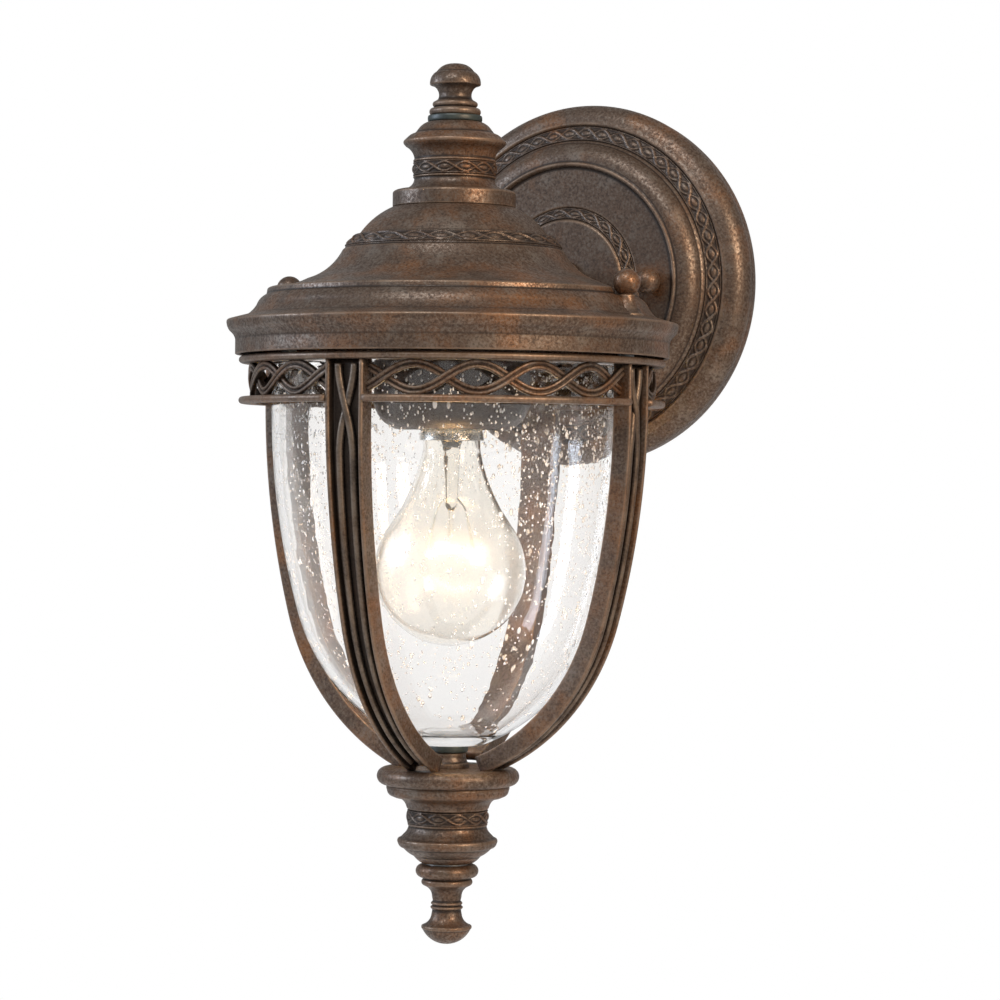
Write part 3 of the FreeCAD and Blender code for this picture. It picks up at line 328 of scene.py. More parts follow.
def turn_outline(surface: Surface, outline: Outline, way: Way, at: Step, segments: int) -> None:
    """Turns an outline about its axis: (r cos t, r sin t, z), t even round the circle.

    An open outline starts and ends on the axis, and each end becomes one point.

    Args:
        surface: where the shape is gathered.
        outline: the rounded outline (r, z).
        way: which way z runs.
        at: place of the axis in mm.
        segments: steps round the circle.
    """
    t = np.arange(segments) * TAU / segments
    body = outline.points if outline.closed else outline.points[1:-1]
    edge = outline.edge if outline.closed else outline.edge[1:-1]
    r, z = body[:, 0, None], body[:, 1, None]
    rows = placed(r * np.cos(t), r * np.sin(t), z + 0 * t, way, at)
    wear_and_painted_light = np.repeat(edge[:, None], segments, 1)
    if outline.closed:
        surface.grid(rows, wear_and_painted_light, True)
        return
    m = len(body)
    index = np.arange(m * segments).reshape(m, segments)
    right = np.roll(index, -1, 1)
    poles = placed(np.zeros(2), np.zeros(2), outline.points[[0, -1], 1], way, at)
    first, last = m * segments, m * segments + 1
    faces = [np.stack([index[:-1], right[:-1], right[1:], index[1:]], -1).reshape(-1, 4),
             np.stack([np.full(segments, first), right[0], index[0]], -1),
             np.stack([np.full(segments, last), index[-1], right[-1]], -1)]
    points = np.concatenate([rows.reshape(-1, 3), poles]) * MM
    surface.take(points, faces, np.concatenate([wear_and_painted_light.ravel(), outline.edge[[0, -1]]]))


def turned(name: str, points: Array, closed: bool, way: Way, at: Step, segments: int = 160,
           corner: float = 0.22) -> bpy.types.Object:
    """Makes one turned piece from an outline in millimetres.

    Args:
        name: the piece's name.
        points: outline (r, z).
        closed: True for a loop, False if it starts and ends on the axis.
        way: which way z runs.
        at: place of the axis in mm.
        segments: steps round the circle.
        corner: about the radius that a sharp corner gets.

    Returns:
        The new object.
    """
    surface = Surface()
    turn_outline(surface, rounded(points, closed, corner), way, at, segments)
    return surface.build(name)


def sweep(surface: Surface, path: Array, up: Array, section: Outline, loop: bool) -> None:
    """Carries a section along a path: place = path + u * across + v * up, across = along x up.

    Args:
        surface: where the shape is gathered.
        path: places (n, 3) in millimetres.
        up: direction (n, 3) in which the section's v points.
        section: closed outline (u, v).
        loop: True if the path closes on itself.
    """
    along = np.roll(path, -1, 0) - np.roll(path, 1, 0) if loop else np.gradient(path, axis=0)
    along /= np.linalg.norm(along, axis=1, keepdims=True)
    across = np.cross(along, up)
    across /= np.linalg.norm(across, axis=1, keepdims=True)
    out = np.cross(across, along)
    u, v = section.points[None, :, 0, None], section.points[None, :, 1, None]
    rows = path[:, None, :] + u * across[:, None, :] + v * out[:, None, :]
    surface.grid(rows, np.repeat(section.edge[None, :], len(path), 0), loop)


# ---------------------------------------------------------------- materials
def linear(colour: str) -> tuple[float, float, float, float]:
    """Turns a colour to linear light.

    Args:
        colour: sRGB colour as # and six hex digits.

    Returns:
        Red, green, blue and full alpha.
    """
    parts = np.array([int(colour[k:k + 2], 16) for k in (1, 3, 5)]) / 255.0
    light = np.where(parts <= 0.04045, parts / 12.92, ((parts + 0.055) / 1.055) ** 2.4)
    return (*(float(v) for v in light), 1.0)


def feed(tree: bpy.types.NodeTree, socket: bpy.types.NodeSocket, value: Fed) -> None:
    """Links a socket to the output that feeds it, or sets its plain value.

    Args:
        tree: the material's node tree.
        socket: the input.
        value: an output socket, a number or a colour.
    """
    if isinstance(value, bpy.types.NodeSocket):
        tree.links.new(value, socket)
    else:
        socket.default_value = value


def add_node(tree: bpy.types.NodeTree, kind: str, settings: dict | None = None,
             **links: Fed) -> bpy.types.Node:
    """Adds a shader node.

    Args:
        tree: the material's node tree.
        kind: the node's type name.
        settings: attributes of the node, or values by input name or number.
        links: input name, with _ for a space, or i and its number, to what feeds it.

    Returns:
        The new node.
    """
    node = tree.nodes.new(kind)
    for key, value in (settings or {}).items():
        if isinstance(key, int) or key in node.inputs:
            node.inputs[key].default_value = value
        else:
            setattr(node, key, value)
    for key, value in links.items():
        numbered = key[0] == "i" and key[1:].isdigit()
        feed(tree, node.inputs[int(key[1:]) if numbered else key.replace("_", " ")], value)
    return node


def new_material(name: str) -> tuple[bpy.types.Material, bpy.types.NodeTree, bpy.types.Node]:
    """Makes an empty material.

    Args:
        name: the material's name.

    Returns:
        The material, its node tree and its output node.
    """
    material = bpy.data.materials.new(name)
    material.use_nodes = True
    tree = material.node_tree
    tree.nodes.clear()
    return material, tree, add_node(tree, "ShaderNodeOutputMaterial")


def noise(tree: bpy.types.NodeTree, size_mm: float, detail: float = 3.0, seed: float = 0.0,
          rough: float = 0.55) -> bpy.types.NodeSocket:
    """Fractal noise on Object coordinates with lumps of about size_mm.

    Noise runs through about one lump per unit, so its scale is one over the size in metres.

    Args:
        tree: the material's node tree.
        size_mm: size of a lump.
        detail: how many finer layers are added.
        seed: where in the pattern the piece lies.
        rough: strength of the finer layers.

    Returns:
        The noise, about 0.5 on average.
    """
    place = add_node(tree, "ShaderNodeTexCoord").outputs["Object"]
    shift = add_node(tree, "ShaderNodeMapping", {"Location": (seed, seed * 0.7, -seed)}, Vector=place)
    settings = {"Scale": 1.0 / (size_mm * MM), "Detail": detail, "Roughness": rough}
    return add_node(tree, "ShaderNodeTexNoise", settings, Vector=shift.outputs[0]).outputs["Fac"]


def banded(tree: bpy.types.NodeTree, value: bpy.types.NodeSocket, low: float, high: float,
           to_low: float = 0.0, to_high: float = 1.0) -> bpy.types.NodeSocket:
    """Carries value from low..high to to_low..to_high, smooth at both ends and held beyond."""
    settings = {"interpolation_type": "SMOOTHSTEP", "From Min": low, "From Max": high,
                "To Min": to_low, "To Max": to_high}
    return add_node(tree, "ShaderNodeMapRange", settings, Value=value).outputs[0]


def blended(tree: bpy.types.NodeTree, share: Fed, a: Fed, b: Fed) -> bpy.types.NodeSocket:
    """Colour a where share is 0, b where it is 1."""
    return add_node(tree, "ShaderNodeMix", {"data_type": "RGBA"}, i0=share, i6=a, i7=b).outputs[2]


def shaders_mixed(tree: bpy.types.NodeTree, share: Fed, a: Fed, b: Fed) -> bpy.types.NodeSocket:
    """Shader a where share is 0, b where it is 1."""
    return add_node(tree, "ShaderNodeMixShader", i0=share, i1=a, i2=b).outputs[0]


def reckoned(tree: bpy.types.NodeTree, operation: str, *values: Fed) -> bpy.types.NodeSocket:
    """One sum, product or the like of its values."""
    inputs = {f"i{number}": value for number, value in enumerate(values)}
    return add_node(tree, "ShaderNodeMath", {"operation": operation}, **inputs).outputs[0]


def bumped(tree: bpy.types.NodeTree, height: bpy.types.NodeSocket, strength: float, depth_mm: float,
           **under: Fed) -> bpy.types.NodeSocket:
    """A bent normal: height lifts the face by depth_mm, over another bump if there's one under it."""
    settings = {"Strength": strength, "Distance": depth_mm * MM}
    return add_node(tree, "ShaderNodeBump", settings, Height=height, **under).outputs[0]


@dataclass(frozen=True)
class BronzePatina:
    """Cast aluminium lacquered umber, rubbed with rust and pewter, satin: edges pale by rubbed wear and painted
    highlight, hollows dark by painted shade.
    """

    name: str = "hand_rubbed_bronze_on_cast_aluminium"
    umber: str = "#504136"
    rust: str = "#6F4C30"
    pewter: str = "#716A62"
    # dark flecks, and painted shade in hollows, channel floors and undersides
    dark_fleck_and_shade: str = "#231B16"
    # pale edges: rubbed wear and painted highlight
    edge_wear_and_light: str = "#7C6857"
    rust_share: float = 0.5
    cloud_mm: float = 22.0      # size of the rubbed patches
    fleck_mm: float = 1.1       # sponge flecks, coarser than real ones so that they show
    grain_mm: float = 0.6       # sand grain of the casting
    relief: float = 1.0         # share of the full bump

    def build(self) -> bpy.types.Material:
        """Mixes the patches, flecks, pale edges (rubbed wear and painted highlight) and painted shade in
        hollows; roughness and bump follow the same flecks.

        Returns:
            The material.
        """
        material, tree, out = new_material(self.name)
        cloud = noise(tree, self.cloud_mm, 4.0, 3.1)
        patch = noise(tree, self.cloud_mm * 0.45, 4.0, 8.7)
        fleck = noise(tree, self.fleck_mm, 2.0, 1.3, 0.7)
        grain = noise(tree, self.grain_mm, 2.0, 5.5)
        edge = add_node(tree, "ShaderNodeAttribute", {"attribute_name": "edge"}).outputs["Fac"]
        rusty = banded(tree, cloud, 0.52 - 0.2 * self.rust_share, 0.82 - 0.2 * self.rust_share)
        colour = blended(tree, rusty, linear(self.umber), linear(self.rust))
        colour = blended(tree, banded(tree, patch, 0.50, 0.72, 0.0, 0.45), colour, linear(self.pewter))
        colour = blended(tree, banded(tree, fleck, 0.50, 0.66, 0.0, 0.5), colour, linear(self.pewter))
        colour = blended(tree, banded(tree, fleck, 0.48, 0.36, 0.0, 0.6), colour, linear(self.dark_fleck_and_shade))
        # painted shade: darker where the edge value is below 0, in hollows, channel floors and undersides
        colour = blended(tree, banded(tree, edge, -0.05, -0.5, 0.0, 0.85), colour, linear(self.dark_fleck_and_shade))
        # pale edges: rubbed wear and painted highlight on convex edges, in patches
        rubbed_and_highlit = reckoned(tree, "MULTIPLY", banded(tree, edge, 0.1, 0.8),
                          banded(tree, patch, 0.35, 0.6, 0.15, 0.6))
        colour = blended(tree, rubbed_and_highlit, colour, linear(self.edge_wear_and_light))
        bump = bumped(tree, grain, 0.25 * self.relief, 0.1)
        bump = bumped(tree, fleck, 0.2 * self.relief, 0.4, Normal=bump)
        shader = add_node(tree, "ShaderNodeBsdfPrincipled", {"Metallic": 0.55}, Base_Color=colour,
                          Roughness=banded(tree, fleck, 0.35, 0.65, 0.52, 0.34), Normal=bump)
        tree.links.new(shader.outputs[0], out.inputs[0])
        return material


@dataclass(frozen=True)
class PlainFinish:
    """One even substance whose colour, gloss and relief vary slightly with a fine grain."""

    name: str
    colour: str
    shade: str
    grain_mm: float
    rough: float
    metallic: float = 0.0
    relief: float = 0.05
    coat: float = 0.0

    def build(self) -> bpy.types.Material:
        """Mixes two close shades by the grain.

        Returns:
            The material.
        """
        material, tree, out = new_material(self.name)
        grain = noise(tree, self.grain_mm, 3.0, 2.2)
        large = noise(tree, self.grain_mm * 9, 2.0, 6.4)
        colour = blended(tree, banded(tree, large, 0.35, 0.65), linear(self.colour), linear(self.shade))
        rough = banded(tree, grain, 0.3, 0.7, self.rough * 0.85, self.rough * 1.15)
        shader = add_node(tree, "ShaderNodeBsdfPrincipled",
                          {"Metallic": self.metallic, "Coat Weight": self.coat}, Base_Color=colour,
                          Roughness=rough, Normal=bumped(tree, grain, 0.4, self.relief))
        tree.links.new(shader.outputs[0], out.inputs[0])
        return material


@dataclass(frozen=True)
class ClearGlass:
    """Clear glass that lets lamps through: polished, slightly wavy, tinted only at its edges."""

    name: str
    tint: str = "#FEFDFC"
    ior: float = 1.46
    wave_mm: float = 9.0
    wave_depth: float = 0.15
    haze: float = 0.0           # roughness at the level of the hot wire
    glow: float = 0.0           # painted glow: warm light given off by the glass itself, where it would scatter the wire's light
    glow_reach: float = 26.0    # mm up and down over which both fade
    through: float = 0.0        # share that is seen straight through
    glint: float = 0.0          # share of a white matt layer: a painted glint for the bright reflections in a seed's wall

    def build(self) -> bpy.types.Material:
        """Makes glass that refracts for the eye and is plain clear for rays from lamps.

        Returns:
            The material.
        """
        material, tree, out = new_material(self.name)
        wave = noise(tree, self.wave_mm, 1.0, 4.0)
        glass = add_node(tree, "ShaderNodeBsdfPrincipled",
                         {"Base Color": linear(self.tint), "Roughness": 0.0, "IOR": self.ior,
                          "Transmission Weight": 1.0}, Normal=bumped(tree, wave, 0.35, self.wave_depth))
        if self.haze > 0.0 or self.glow > 0.0:
            self.warm(tree, glass)
        seen = glass.outputs[0]
        clear = add_node(tree, "ShaderNodeBsdfTransparent", {"Color": linear(self.tint)}).outputs[0]
        if self.glint > 0.0:
            # painted glint: a white matt layer that makes the seeds bright
            pale = {"Roughness": 0.9, "Base Color": linear("#FFFFFF")}
            seen = shaders_mixed(tree, self.glint, seen,
                                 add_node(tree, "ShaderNodeBsdfPrincipled", pale).outputs[0])
        if self.through > 0.0:
            seen = shaders_mixed(tree, self.through, seen, clear)
        shadow = add_node(tree, "ShaderNodeLightPath").outputs["Is Shadow Ray"]
        tree.links.new(shaders_mixed(tree, shadow, seen, clear), out.inputs[0])
        return material

    def warm(self, tree: bpy.types.NodeTree, glass: bpy.types.Node) -> None:
        """Adds haze and glow by the height over the hot wire: exp(-((z - wire) / reach)^2).

        Args:
            tree: the material's node tree.
            glass: the refracting shader.
        """
        place = add_node(tree, "ShaderNodeTexCoord").outputs["Object"]
        height = add_node(tree, "ShaderNodeSeparateXYZ", Vector=place).outputs["Z"]
        wire = (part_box("lamp_filament")[0].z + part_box("lamp_filament")[1].z) / 2
        off = reckoned(tree, "DIVIDE", reckoned(tree, "SUBTRACT", height, wire), self.glow_reach * MM)
        square = reckoned(tree, "MULTIPLY", off, off)
        bell = reckoned(tree, "EXPONENT", reckoned(tree, "MULTIPLY", square, -1.0))
        for socket, most in (("Roughness", self.haze), ("Emission Strength", self.glow)):
            tree.links.new(reckoned(tree, "MULTIPLY", bell, most), glass.inputs[socket])
        glass.inputs["Emission Color"].default_value = linear("#FFE3AE")


@dataclass(frozen=True)
class HotWire:
    """Tungsten at lamp heat: a warm white glow."""

    name: str = "hot_tungsten"
    colour: str = "#FFD79A"
    strength: float = 320.0

    def build(self) -> bpy.types.Material:
        """Makes plain emission.

        Returns:
            The material.
        """
        material, tree, out = new_material(self.name)
        glow = add_node(tree, "ShaderNodeEmission",
                        {"Color": linear(self.colour), "Strength": self.strength})
        tree.links.new(glow.outputs[0], out.inputs[0])
        return material


def made(finish: BronzePatina | PlainFinish | ClearGlass | HotWire) -> bpy.types.Material:
    """A palette's field that holds the finish's material."""
    return field(default_factory=finish.build)


@dataclass
class Palette:
    """Every finish on the lantern, built once when the palette is made."""

    bronze: bpy.types.Material = made(BronzePatina())
    bronze_plate: bpy.types.Material = made(BronzePatina(
        name="hand_rubbed_bronze_darker", rust_share=0.3))
    # reeds: a darker copy of the bronze as painted shade of the ribs' channels, with brighter pale edges as
    # wear and painted highlight
    bronze_reeds_shaded: bpy.types.Material = made(BronzePatina(
        name="bronze_reeds_painted_shade", umber="#3B312A", rust="#4C392A", pewter="#59524B", dark_fleck_and_shade="#15100D",
        edge_wear_and_light="#A08D79"))
    # darker copy of the bronze for the lamp holder's cup: painted shade
    bronze_shaded_inside: bpy.types.Material = made(BronzePatina(
        name="bronze_inside_painted_shade", umber="#3A3029", rust="#46362B", pewter="#4C453F", dark_fleck_and_shade="#1B1613",
        relief=0.3))
    rubber: bpy.types.Material = made(PlainFinish(
        "moulded_nitrile_rubber", "#1B2322", "#28312F", 0.5, 0.42, relief=0.03))
    foam: bpy.types.Material = made(PlainFinish(
        "closed_cell_foam", "#202020", "#2C2C2C", 0.8, 0.85, relief=0.2))
    zinc: bpy.types.Material = made(PlainFinish(
        "zinc_plated_steel", "#B9BCBA", "#9EA2A2", 0.7, 0.33, 1.0))
    green_zinc: bpy.types.Material = made(PlainFinish(
        "green_dyed_steel", "#1E6A33", "#2A7B40", 0.7, 0.35, 0.7))
    plastic: bpy.types.Material = made(PlainFinish(
        "moulded_white_nylon", "#D8D5CB", "#CCC8BC", 0.6, 0.45))
    porcelain: bpy.types.Material = made(PlainFinish(
        "glazed_porcelain", "#E9E6DD", "#DEDACF", 1.2, 0.22, relief=0.03, coat=0.6))
    brass: bpy.types.Material = made(PlainFinish(
        "pressed_brass", "#C9A35A", "#B08A46", 0.5, 0.3, 1.0))
    rolled: bpy.types.Material = made(PlainFinish(
        "rolled_aluminium", "#C9C7C1", "#B5B2AB", 0.4, 0.28, 1.0))
    black_wire: bpy.types.Material = made(PlainFinish(
        "black_silicone_sleeve", "#1A1A1A", "#242424", 0.5, 0.5))
    white_wire: bpy.types.Material = made(PlainFinish(
        "white_silicone_sleeve", "#DAD8D0", "#CFCCC2", 0.5, 0.5))
    black_glass: bpy.types.Material = made(PlainFinish(
        "fused_black_glass", "#0C0C0E", "#141416", 0.6, 0.12, coat=0.5))
    bowl: bpy.types.Material = made(ClearGlass("seeded_soda_glass"))
    seed: bpy.types.Material = made(ClearGlass(
        "air_in_glass", tint="#FFFFFF", ior=0.685, wave_depth=0.0, through=0.3, glint=0.45))
    lamp: bpy.types.Material = made(ClearGlass(
        "thin_lamp_glass", tint="#FFFDF9", wave_depth=0.02, haze=0.15, glow=0.015))
    hot: bpy.types.Material = made(HotWire())


def dress(obj: bpy.types.Object, material: bpy.types.Material) -> None:
    """Gives an object one material and no other."""
    obj.data.materials.clear()
    obj.data.materials.append(material)


def finish_piece(obj: bpy.types.Object, material: bpy.types.Material, body: str, slot: str,
                 *nodes: str) -> bpy.types.Object:
    """Dresses a new piece, makes it ride on its body and stand for its CAD nodes.

    Args:
        obj: the new piece.
        material: its finish.
        body: the body that it moves with.
        slot: its material slot's name; not used.
        nodes: the CAD nodes that it stands for, if any.

    Returns:
        The piece.
    """
    dress(obj, material)
    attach(obj, body)
    if nodes:
        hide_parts(*nodes)
    LOG.info("%s rides on %s and stands for %s", obj.name, body, nodes or "nothing")
    return obj


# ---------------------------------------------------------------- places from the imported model
def low(node: str) -> Vector:
    """Lowest corner of a CAD node's box in millimetres."""
    return Vector(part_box(node)[0]) / MM


def high(node: str) -> Vector:
    """Highest corner of a CAD node's box in millimetres."""
    return Vector(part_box(node)[1]) / MM


def middle(node: str) -> Vector:
    """Centre of a CAD node's box in millimetres."""
    return (low(node) + high(node)) / 2


def along_axis(z: float) -> Step:
    """The place on the lantern's upright axis at a height, in millimetres."""
    axis = middle("top_finial")
    return (axis.x, axis.y, z)


# ---------------------------------------------------------------- braid in relief
@dataclass(frozen=True)
class Braid:
    """Two woven strands with a lens in each eye, between two fine beads, cast in relief."""

    eyes: int
    height: float = 0.85
    strand: float = 0.5         # half the strand's width
    swing: float = 0.66         # reach of a strand from the band's middle, as a share of half the band
    bead: float = 0.32          # half the border bead's width
    bead_rise: float = 0.55     # the bead's height, as a share of the strands'
    under: float = 0.28         # half of how much lower a strand is where it runs under, as a share
    lens: Step = (0.31, 0.80)   # half a lens's length in eyes, and its width as a share of the gap
    lens_rise: float = 0.62
    columns: int = 22           # grid columns for one eye
    rows: int = 26

    def relief(self, turn: Array, across: Array, half: float, pitch: float) -> Array:
        """Height of the relief over the band's floor.

        With p = pi * turn the strands lie at across = +-swing * sin p, and each rises as
        cos p so that they pass over and under by turns. Every ridge is a half ellipse across.

        Args:
            turn: place round the band, 1 for each eye.
            across: place across the band, -1 to 1.
            half: half the band's width in mm.
            pitch: length of one eye in mm.

        Returns:
            Height in mm.
        """
        p = math.pi * turn
        slope = self.swing * half * math.pi / pitch * np.cos(p)
        lean = np.sqrt(1.0 + slope ** 2)
        ridges = []
        for side in (-1.0, 1.0):
            off = np.abs(across - side * self.swing * np.sin(p)) * half / lean
            ridge = np.sqrt(np.clip(1.0 - (off / self.strand) ** 2, 0, 1))
            ridges.append(self.height * (1.0 - self.under + self.under * side * np.cos(p)) * ridge)
        gap = self.swing * half - self.strand
        off = ((turn % 1.0 - 0.5) / self.lens[0]) ** 2 + (across * half / (self.lens[1] * gap)) ** 2
        ridges.append(self.lens_rise * self.height * np.sqrt(np.clip(1.0 - off, 0, 1)))
        off = (((1.0 - np.abs(across)) * half - self.bead) / self.bead) ** 2 + 0 * turn
        ridges.append(self.bead_rise * self.height * np.sqrt(np.clip(1.0 - off, 0, 1)))
        return np.maximum.reduce(ridges)

    def wrap(self, surface: Surface, start: Step, end: Step, way: Way, at: Step,
             lift: float = 0.1, depth: float = 0.8) -> None:
        """Lays the braid on a cone from start to end, as one closed ring sunk into the casting.

        Args:
            surface: where the shape is gathered.
            start: the band's upper or inner edge (r, z).
            end: its lower or outer edge (r, z).
            way: which way z runs.
            at: place of the axis in mm.
            lift: the floor's height over the casting.
            depth: how far the ring's back lies below the floor.
        """
        run = np.array(end) - np.array(start)
        width = float(np.hypot(*run))
        normal = np.array([-run[1], run[0]]) / width
        count = self.eyes * self.columns
        turn = np.arange(count)[None, :] / self.columns
        across = np.linspace(-1, 1, self.rows)[:, None]
        pitch = TAU * (start[0] + end[0]) / 2 / self.eyes
        rise = self.relief(turn, across, width / 2, pitch) + lift
        # edge value by height: rubbed wear and painted highlight on the crests, painted shade on the floor
        # between strands and on the sunk back
        wear_and_painted_light = np.clip(1.2 * (rise - lift) / self.height - 0.8, -0.7, 0.35)
        share = np.concatenate([(across + 1) / 2, [[1.0], [0.0]]])
        rise = np.concatenate([rise, np.full((2, count), -depth)])
        wear_and_painted_light = np.concatenate([wear_and_painted_light, np.full((2, count), -0.5)])
        r = start[0] + share * run[0] + normal[0] * rise
        z = start[1] + share * run[1] + normal[1] * rise
        angle = TAU * turn / self.eyes
        surface.grid(placed(r * np.cos(angle), r * np.sin(angle), z, way, at), wear_and_painted_light, True)


# ---------------------------------------------------------------- roof, crown and top finial
@dataclass
class Roof:
    """Bell roof: dome, braid, ogee, step ring, sloping brim and skirt, with two conical bosses."""

    wall: float = 2.2
    rod_hole: float = 3.35
    brim: float = 89.5
    skirt: float = 86.0
    skirt_foot: float = -34.6
    top: float = 24.6
    boss_out: float = 76.7      # bosses from the axis
    boss_top: float = -11.2
    seat: float = 5.8           # round seat cut for each ball nut
    stud_hole: float = 2.3
    pad_face: float = 40.0      # arm pad's inner face from the axis
    braid: Braid = Braid(24)

    def build(self, paint: bpy.types.Material) -> None:
        """Turns the shell, the bosses and the arm's pad, and lays the braid.

        Args:
            paint: the castings' finish.
        """
        surface, at = Surface(), along_axis(0.0)
        inside = self.skirt - self.wall
        shell = traced((self.rod_hole, self.top), (24.2, self.top), (37.4, 13.6, 1.2), (38.2, 12.9),
                       (38.9, 12.9), (42.9, 8.6), (43.0, 8.0), (43.9, 7.4), (58.0, -4.4, -1.9),
                       (71.6, -8.3, -0.7),
                       (73.5, -8.6, 0.3), (73.8, -10.7), (74.9, -11.4), (77.7, -15.0, 0.4), (81.4, -18.9, -0.3),
                       (88.6, -20.8), (self.brim, -21.9, 0.35), (88.2, -25.4, 0.3), (self.skirt, -28.6, -0.35),
                       (self.skirt, self.skirt_foot), (inside, self.skirt_foot), (inside, -23.6),
                       (79.6, -21.3), (70.2, -13.2), (68.2, -10.6), (56.6, -6.6, 0.6), (41.0, 6.2, 1.6),
                       (35.3, 12.2), (23.0, self.top - self.wall, -0.9),
                       (self.rod_hole, self.top - self.wall))
        turn_outline(surface, rounded(shell, True, 0.3), Way.UP, at, 232)
        self.braid.wrap(surface, (38.9, 12.95), (42.9, 8.55), Way.UP, at)
        top = self.boss_top
        boss = traced((self.stud_hole, top), (3.3, top), (4.8, top - 4.6, -0.35), (6.8, top - 7.4, -0.3),
                      (6.8, top - 8.4), (self.stud_hole, top - 8.4))
        for side in (-1, 1):
            place = (at[0] + side * self.boss_out, at[1], 0.0)
            turn_outline(surface, rounded(boss, True, 0.25), Way.UP, place, 48)
        pad = traced((5.25, 0), (10.5, 0), (10.5, -9.0), (5.25, -9.0))
        turn_outline(surface, rounded(pad, True, 0.4), Way.OUT,
                     (at[0], at[1] + self.pad_face, 0.0), 64)
        surface.points = [self.seated(points) for points in surface.points]
        finish_piece(surface.build("bell_roof"), paint, "lantern", "bronze", "roof")

    def seated(self, points: Array) -> Array:
        """Lowers the outer surface to the boss's top inside each seat: z = min(z, boss top).

        Args:
            points: places (n, 3) in metres.

        Returns:
            A lowered copy.
        """
        axis = np.array(along_axis(0.0)[:2]) * MM
        points = points.copy()
        for side in (-1, 1):
            off = np.hypot(points[:, 0] - axis[0] - side * self.boss_out * MM, points[:, 1] - axis[1])
            inside = off < self.seat * MM
            points[inside, 2] = np.minimum(points[inside, 2], self.boss_top * MM)
        return points


@dataclass
class Crown:
    """Waisted casting on the roof: cone, sharp lip, neck with a braid, and a flange."""

    height: float = 33.7
    flange: float = 24.4
    rod_hole: float = 3.35
    braid: Braid = Braid(12)

    def build(self, paint: bpy.types.Material) -> None:
        """Turns the body and lays the braid round its neck.

        Args:
            paint: the castings' finish.
        """
        surface, at, top = Surface(), along_axis(low("crown").z), self.height
        body = traced((self.rod_hole, top), (10.8, top), (14.5, 30.9, 0.4), (15.8, 29.2), (18.9, 27.4, 0.3),
                      (20.2, 26.2), (20.2, 24.9, 0.2), (19.4, 24.0), (15.9, 18.9, -0.8), (16.4, 18.5),
                      (16.4, 17.9), (15.9, 17.7), (15.9, 12.3), (16.4, 12.1), (16.4, 11.6), (15.9, 11.2),
                      (18.0, 7.8, -0.5),
                      (21.6, 6.7, -0.4), (23.8, 6.2, 0.2), (self.flange, 5.2, 0.2), (self.flange, 0),
                      (20.8, 0), (17.0, 5.0), (13.0, 11.0), (13.0, 24.0), (9.5, top - 5.0),
                      (self.rod_hole, top - 4.0))
        turn_outline(surface, rounded(body, True), Way.UP, at, 160)
        self.braid.wrap(surface, (15.9, 17.7), (15.9, 12.3), Way.UP, at)
        finish_piece(surface.build("crown_casting"), paint, "lantern", "bronze", "crown")


@dataclass
class TopFinial:
    """Mushroom knob on two beads, and the rubber washer under it."""

    height: float = 20.3
    bore: float = 3.1
    thread: float = 10.2
    washer: float = 2.6
    washer_radius: float = 10.8
    washer_hole: float = 3.35

    def build(self, paint: bpy.types.Material, rubber: bpy.types.Material) -> None:
        """Turns both pieces.

        Args:
            paint: the castings' finish.
            rubber: the washer's finish.
        """
        top = self.height
        knob = traced((0, top), (7.4, top - 2.9, 1.3), (10.1, top - 7.7, 0.8), (9.8, top - 8.4, 0.15),
                      (6.9, top - 10.5, -0.5), (6.5, 7.4, -0.2), (7.7, 5.8, -0.3), (8.2, 5.5),
                      (8.4, 3.4, 0.7), (8.1, 3.0), (9.4, 2.8), (9.5, 0, 0.8), (self.bore, 0),
                      (self.bore, self.thread), (0, self.thread))
        obj = turned("mushroom_finial", knob, False, Way.UP, along_axis(low("top_finial").z), 128)
        finish_piece(obj, paint, "top_finial", "bronze", "top_finial")
        rim, hole = self.washer_radius, self.washer_hole
        ring = traced((hole, self.washer), (rim - 0.3, self.washer), (rim, 1.3, 0.15), (rim - 0.3, 0, 0.15),
                      (hole, 0))
        obj = turned("rubber_washer", ring, True, Way.UP, along_axis(low("top_washer").z), 128)
        finish_piece(obj, rubber, "lantern", "rubber", "top_washer")


# ---------------------------------------------------------------- wall plate, arm and ball nuts
@dataclass
class WallPlate:
    """Stepped round plate: rim bead, braid, ovolo, flat disc, inner braid and centre."""

    rim: float = 76.4
    depth: float = 29.5
    hole: float = 5.25
    outer: Braid = Braid(52, strand=0.58, columns=16, rows=26)
    inner: Braid = Braid(24, strand=0.55, columns=18, rows=28)

    def build(self, paint: bpy.types.Material) -> None:
        """Turns the plate and lays both braids in their channels.

        Args:
            paint: the castings' finish.
        """
        surface, face, rim = Surface(), self.depth, self.rim
        at = (0.0, 0.0, 0.0)
        body = traced((self.hole, face), (26.0, face), (26.9, 28.9, 0.1), (27.2, 28.3), (31.9, 25.7),
                      (32.2, 26.2), (33.0, 26.5, 0.1), (33.5, 26.4), (49.0, 26.4), (49.8, 27.7),
                      (50.9, 27.9, 0.2), (51.6, 27.2), (59.9, 21.0, 1.9), (60.6, 20.4), (61.2, 19.3),
                      (67.3, 16.5), (67.9, 17.3), (68.8, 17.6, 0.1), (70.2, 17.0), (rim, 6.0, 3.0),
                      (rim - 0.9, 0, 0.3), (rim - 3.2, 0), (rim - 2.8, 4.5),
                      (66.4, 14.0, -2.0), (58.6, 17.6), (48.8, 24.0, -1.0), (30.0, 24.0),
                      (25.0, face - 2.2), (self.hole, face - 2.2))
        turn_outline(surface, rounded(body, True, 0.3), Way.OUT, at, 216)
        self.outer.wrap(surface, (61.2, 19.3), (67.3, 16.5), Way.OUT, at)
        self.inner.wrap(surface, (27.2, 28.3), (31.9, 25.7), Way.OUT, at)
        finish_piece(surface.build("stepped_wall_plate"), paint, "lantern", "bronze", "wall_plate")


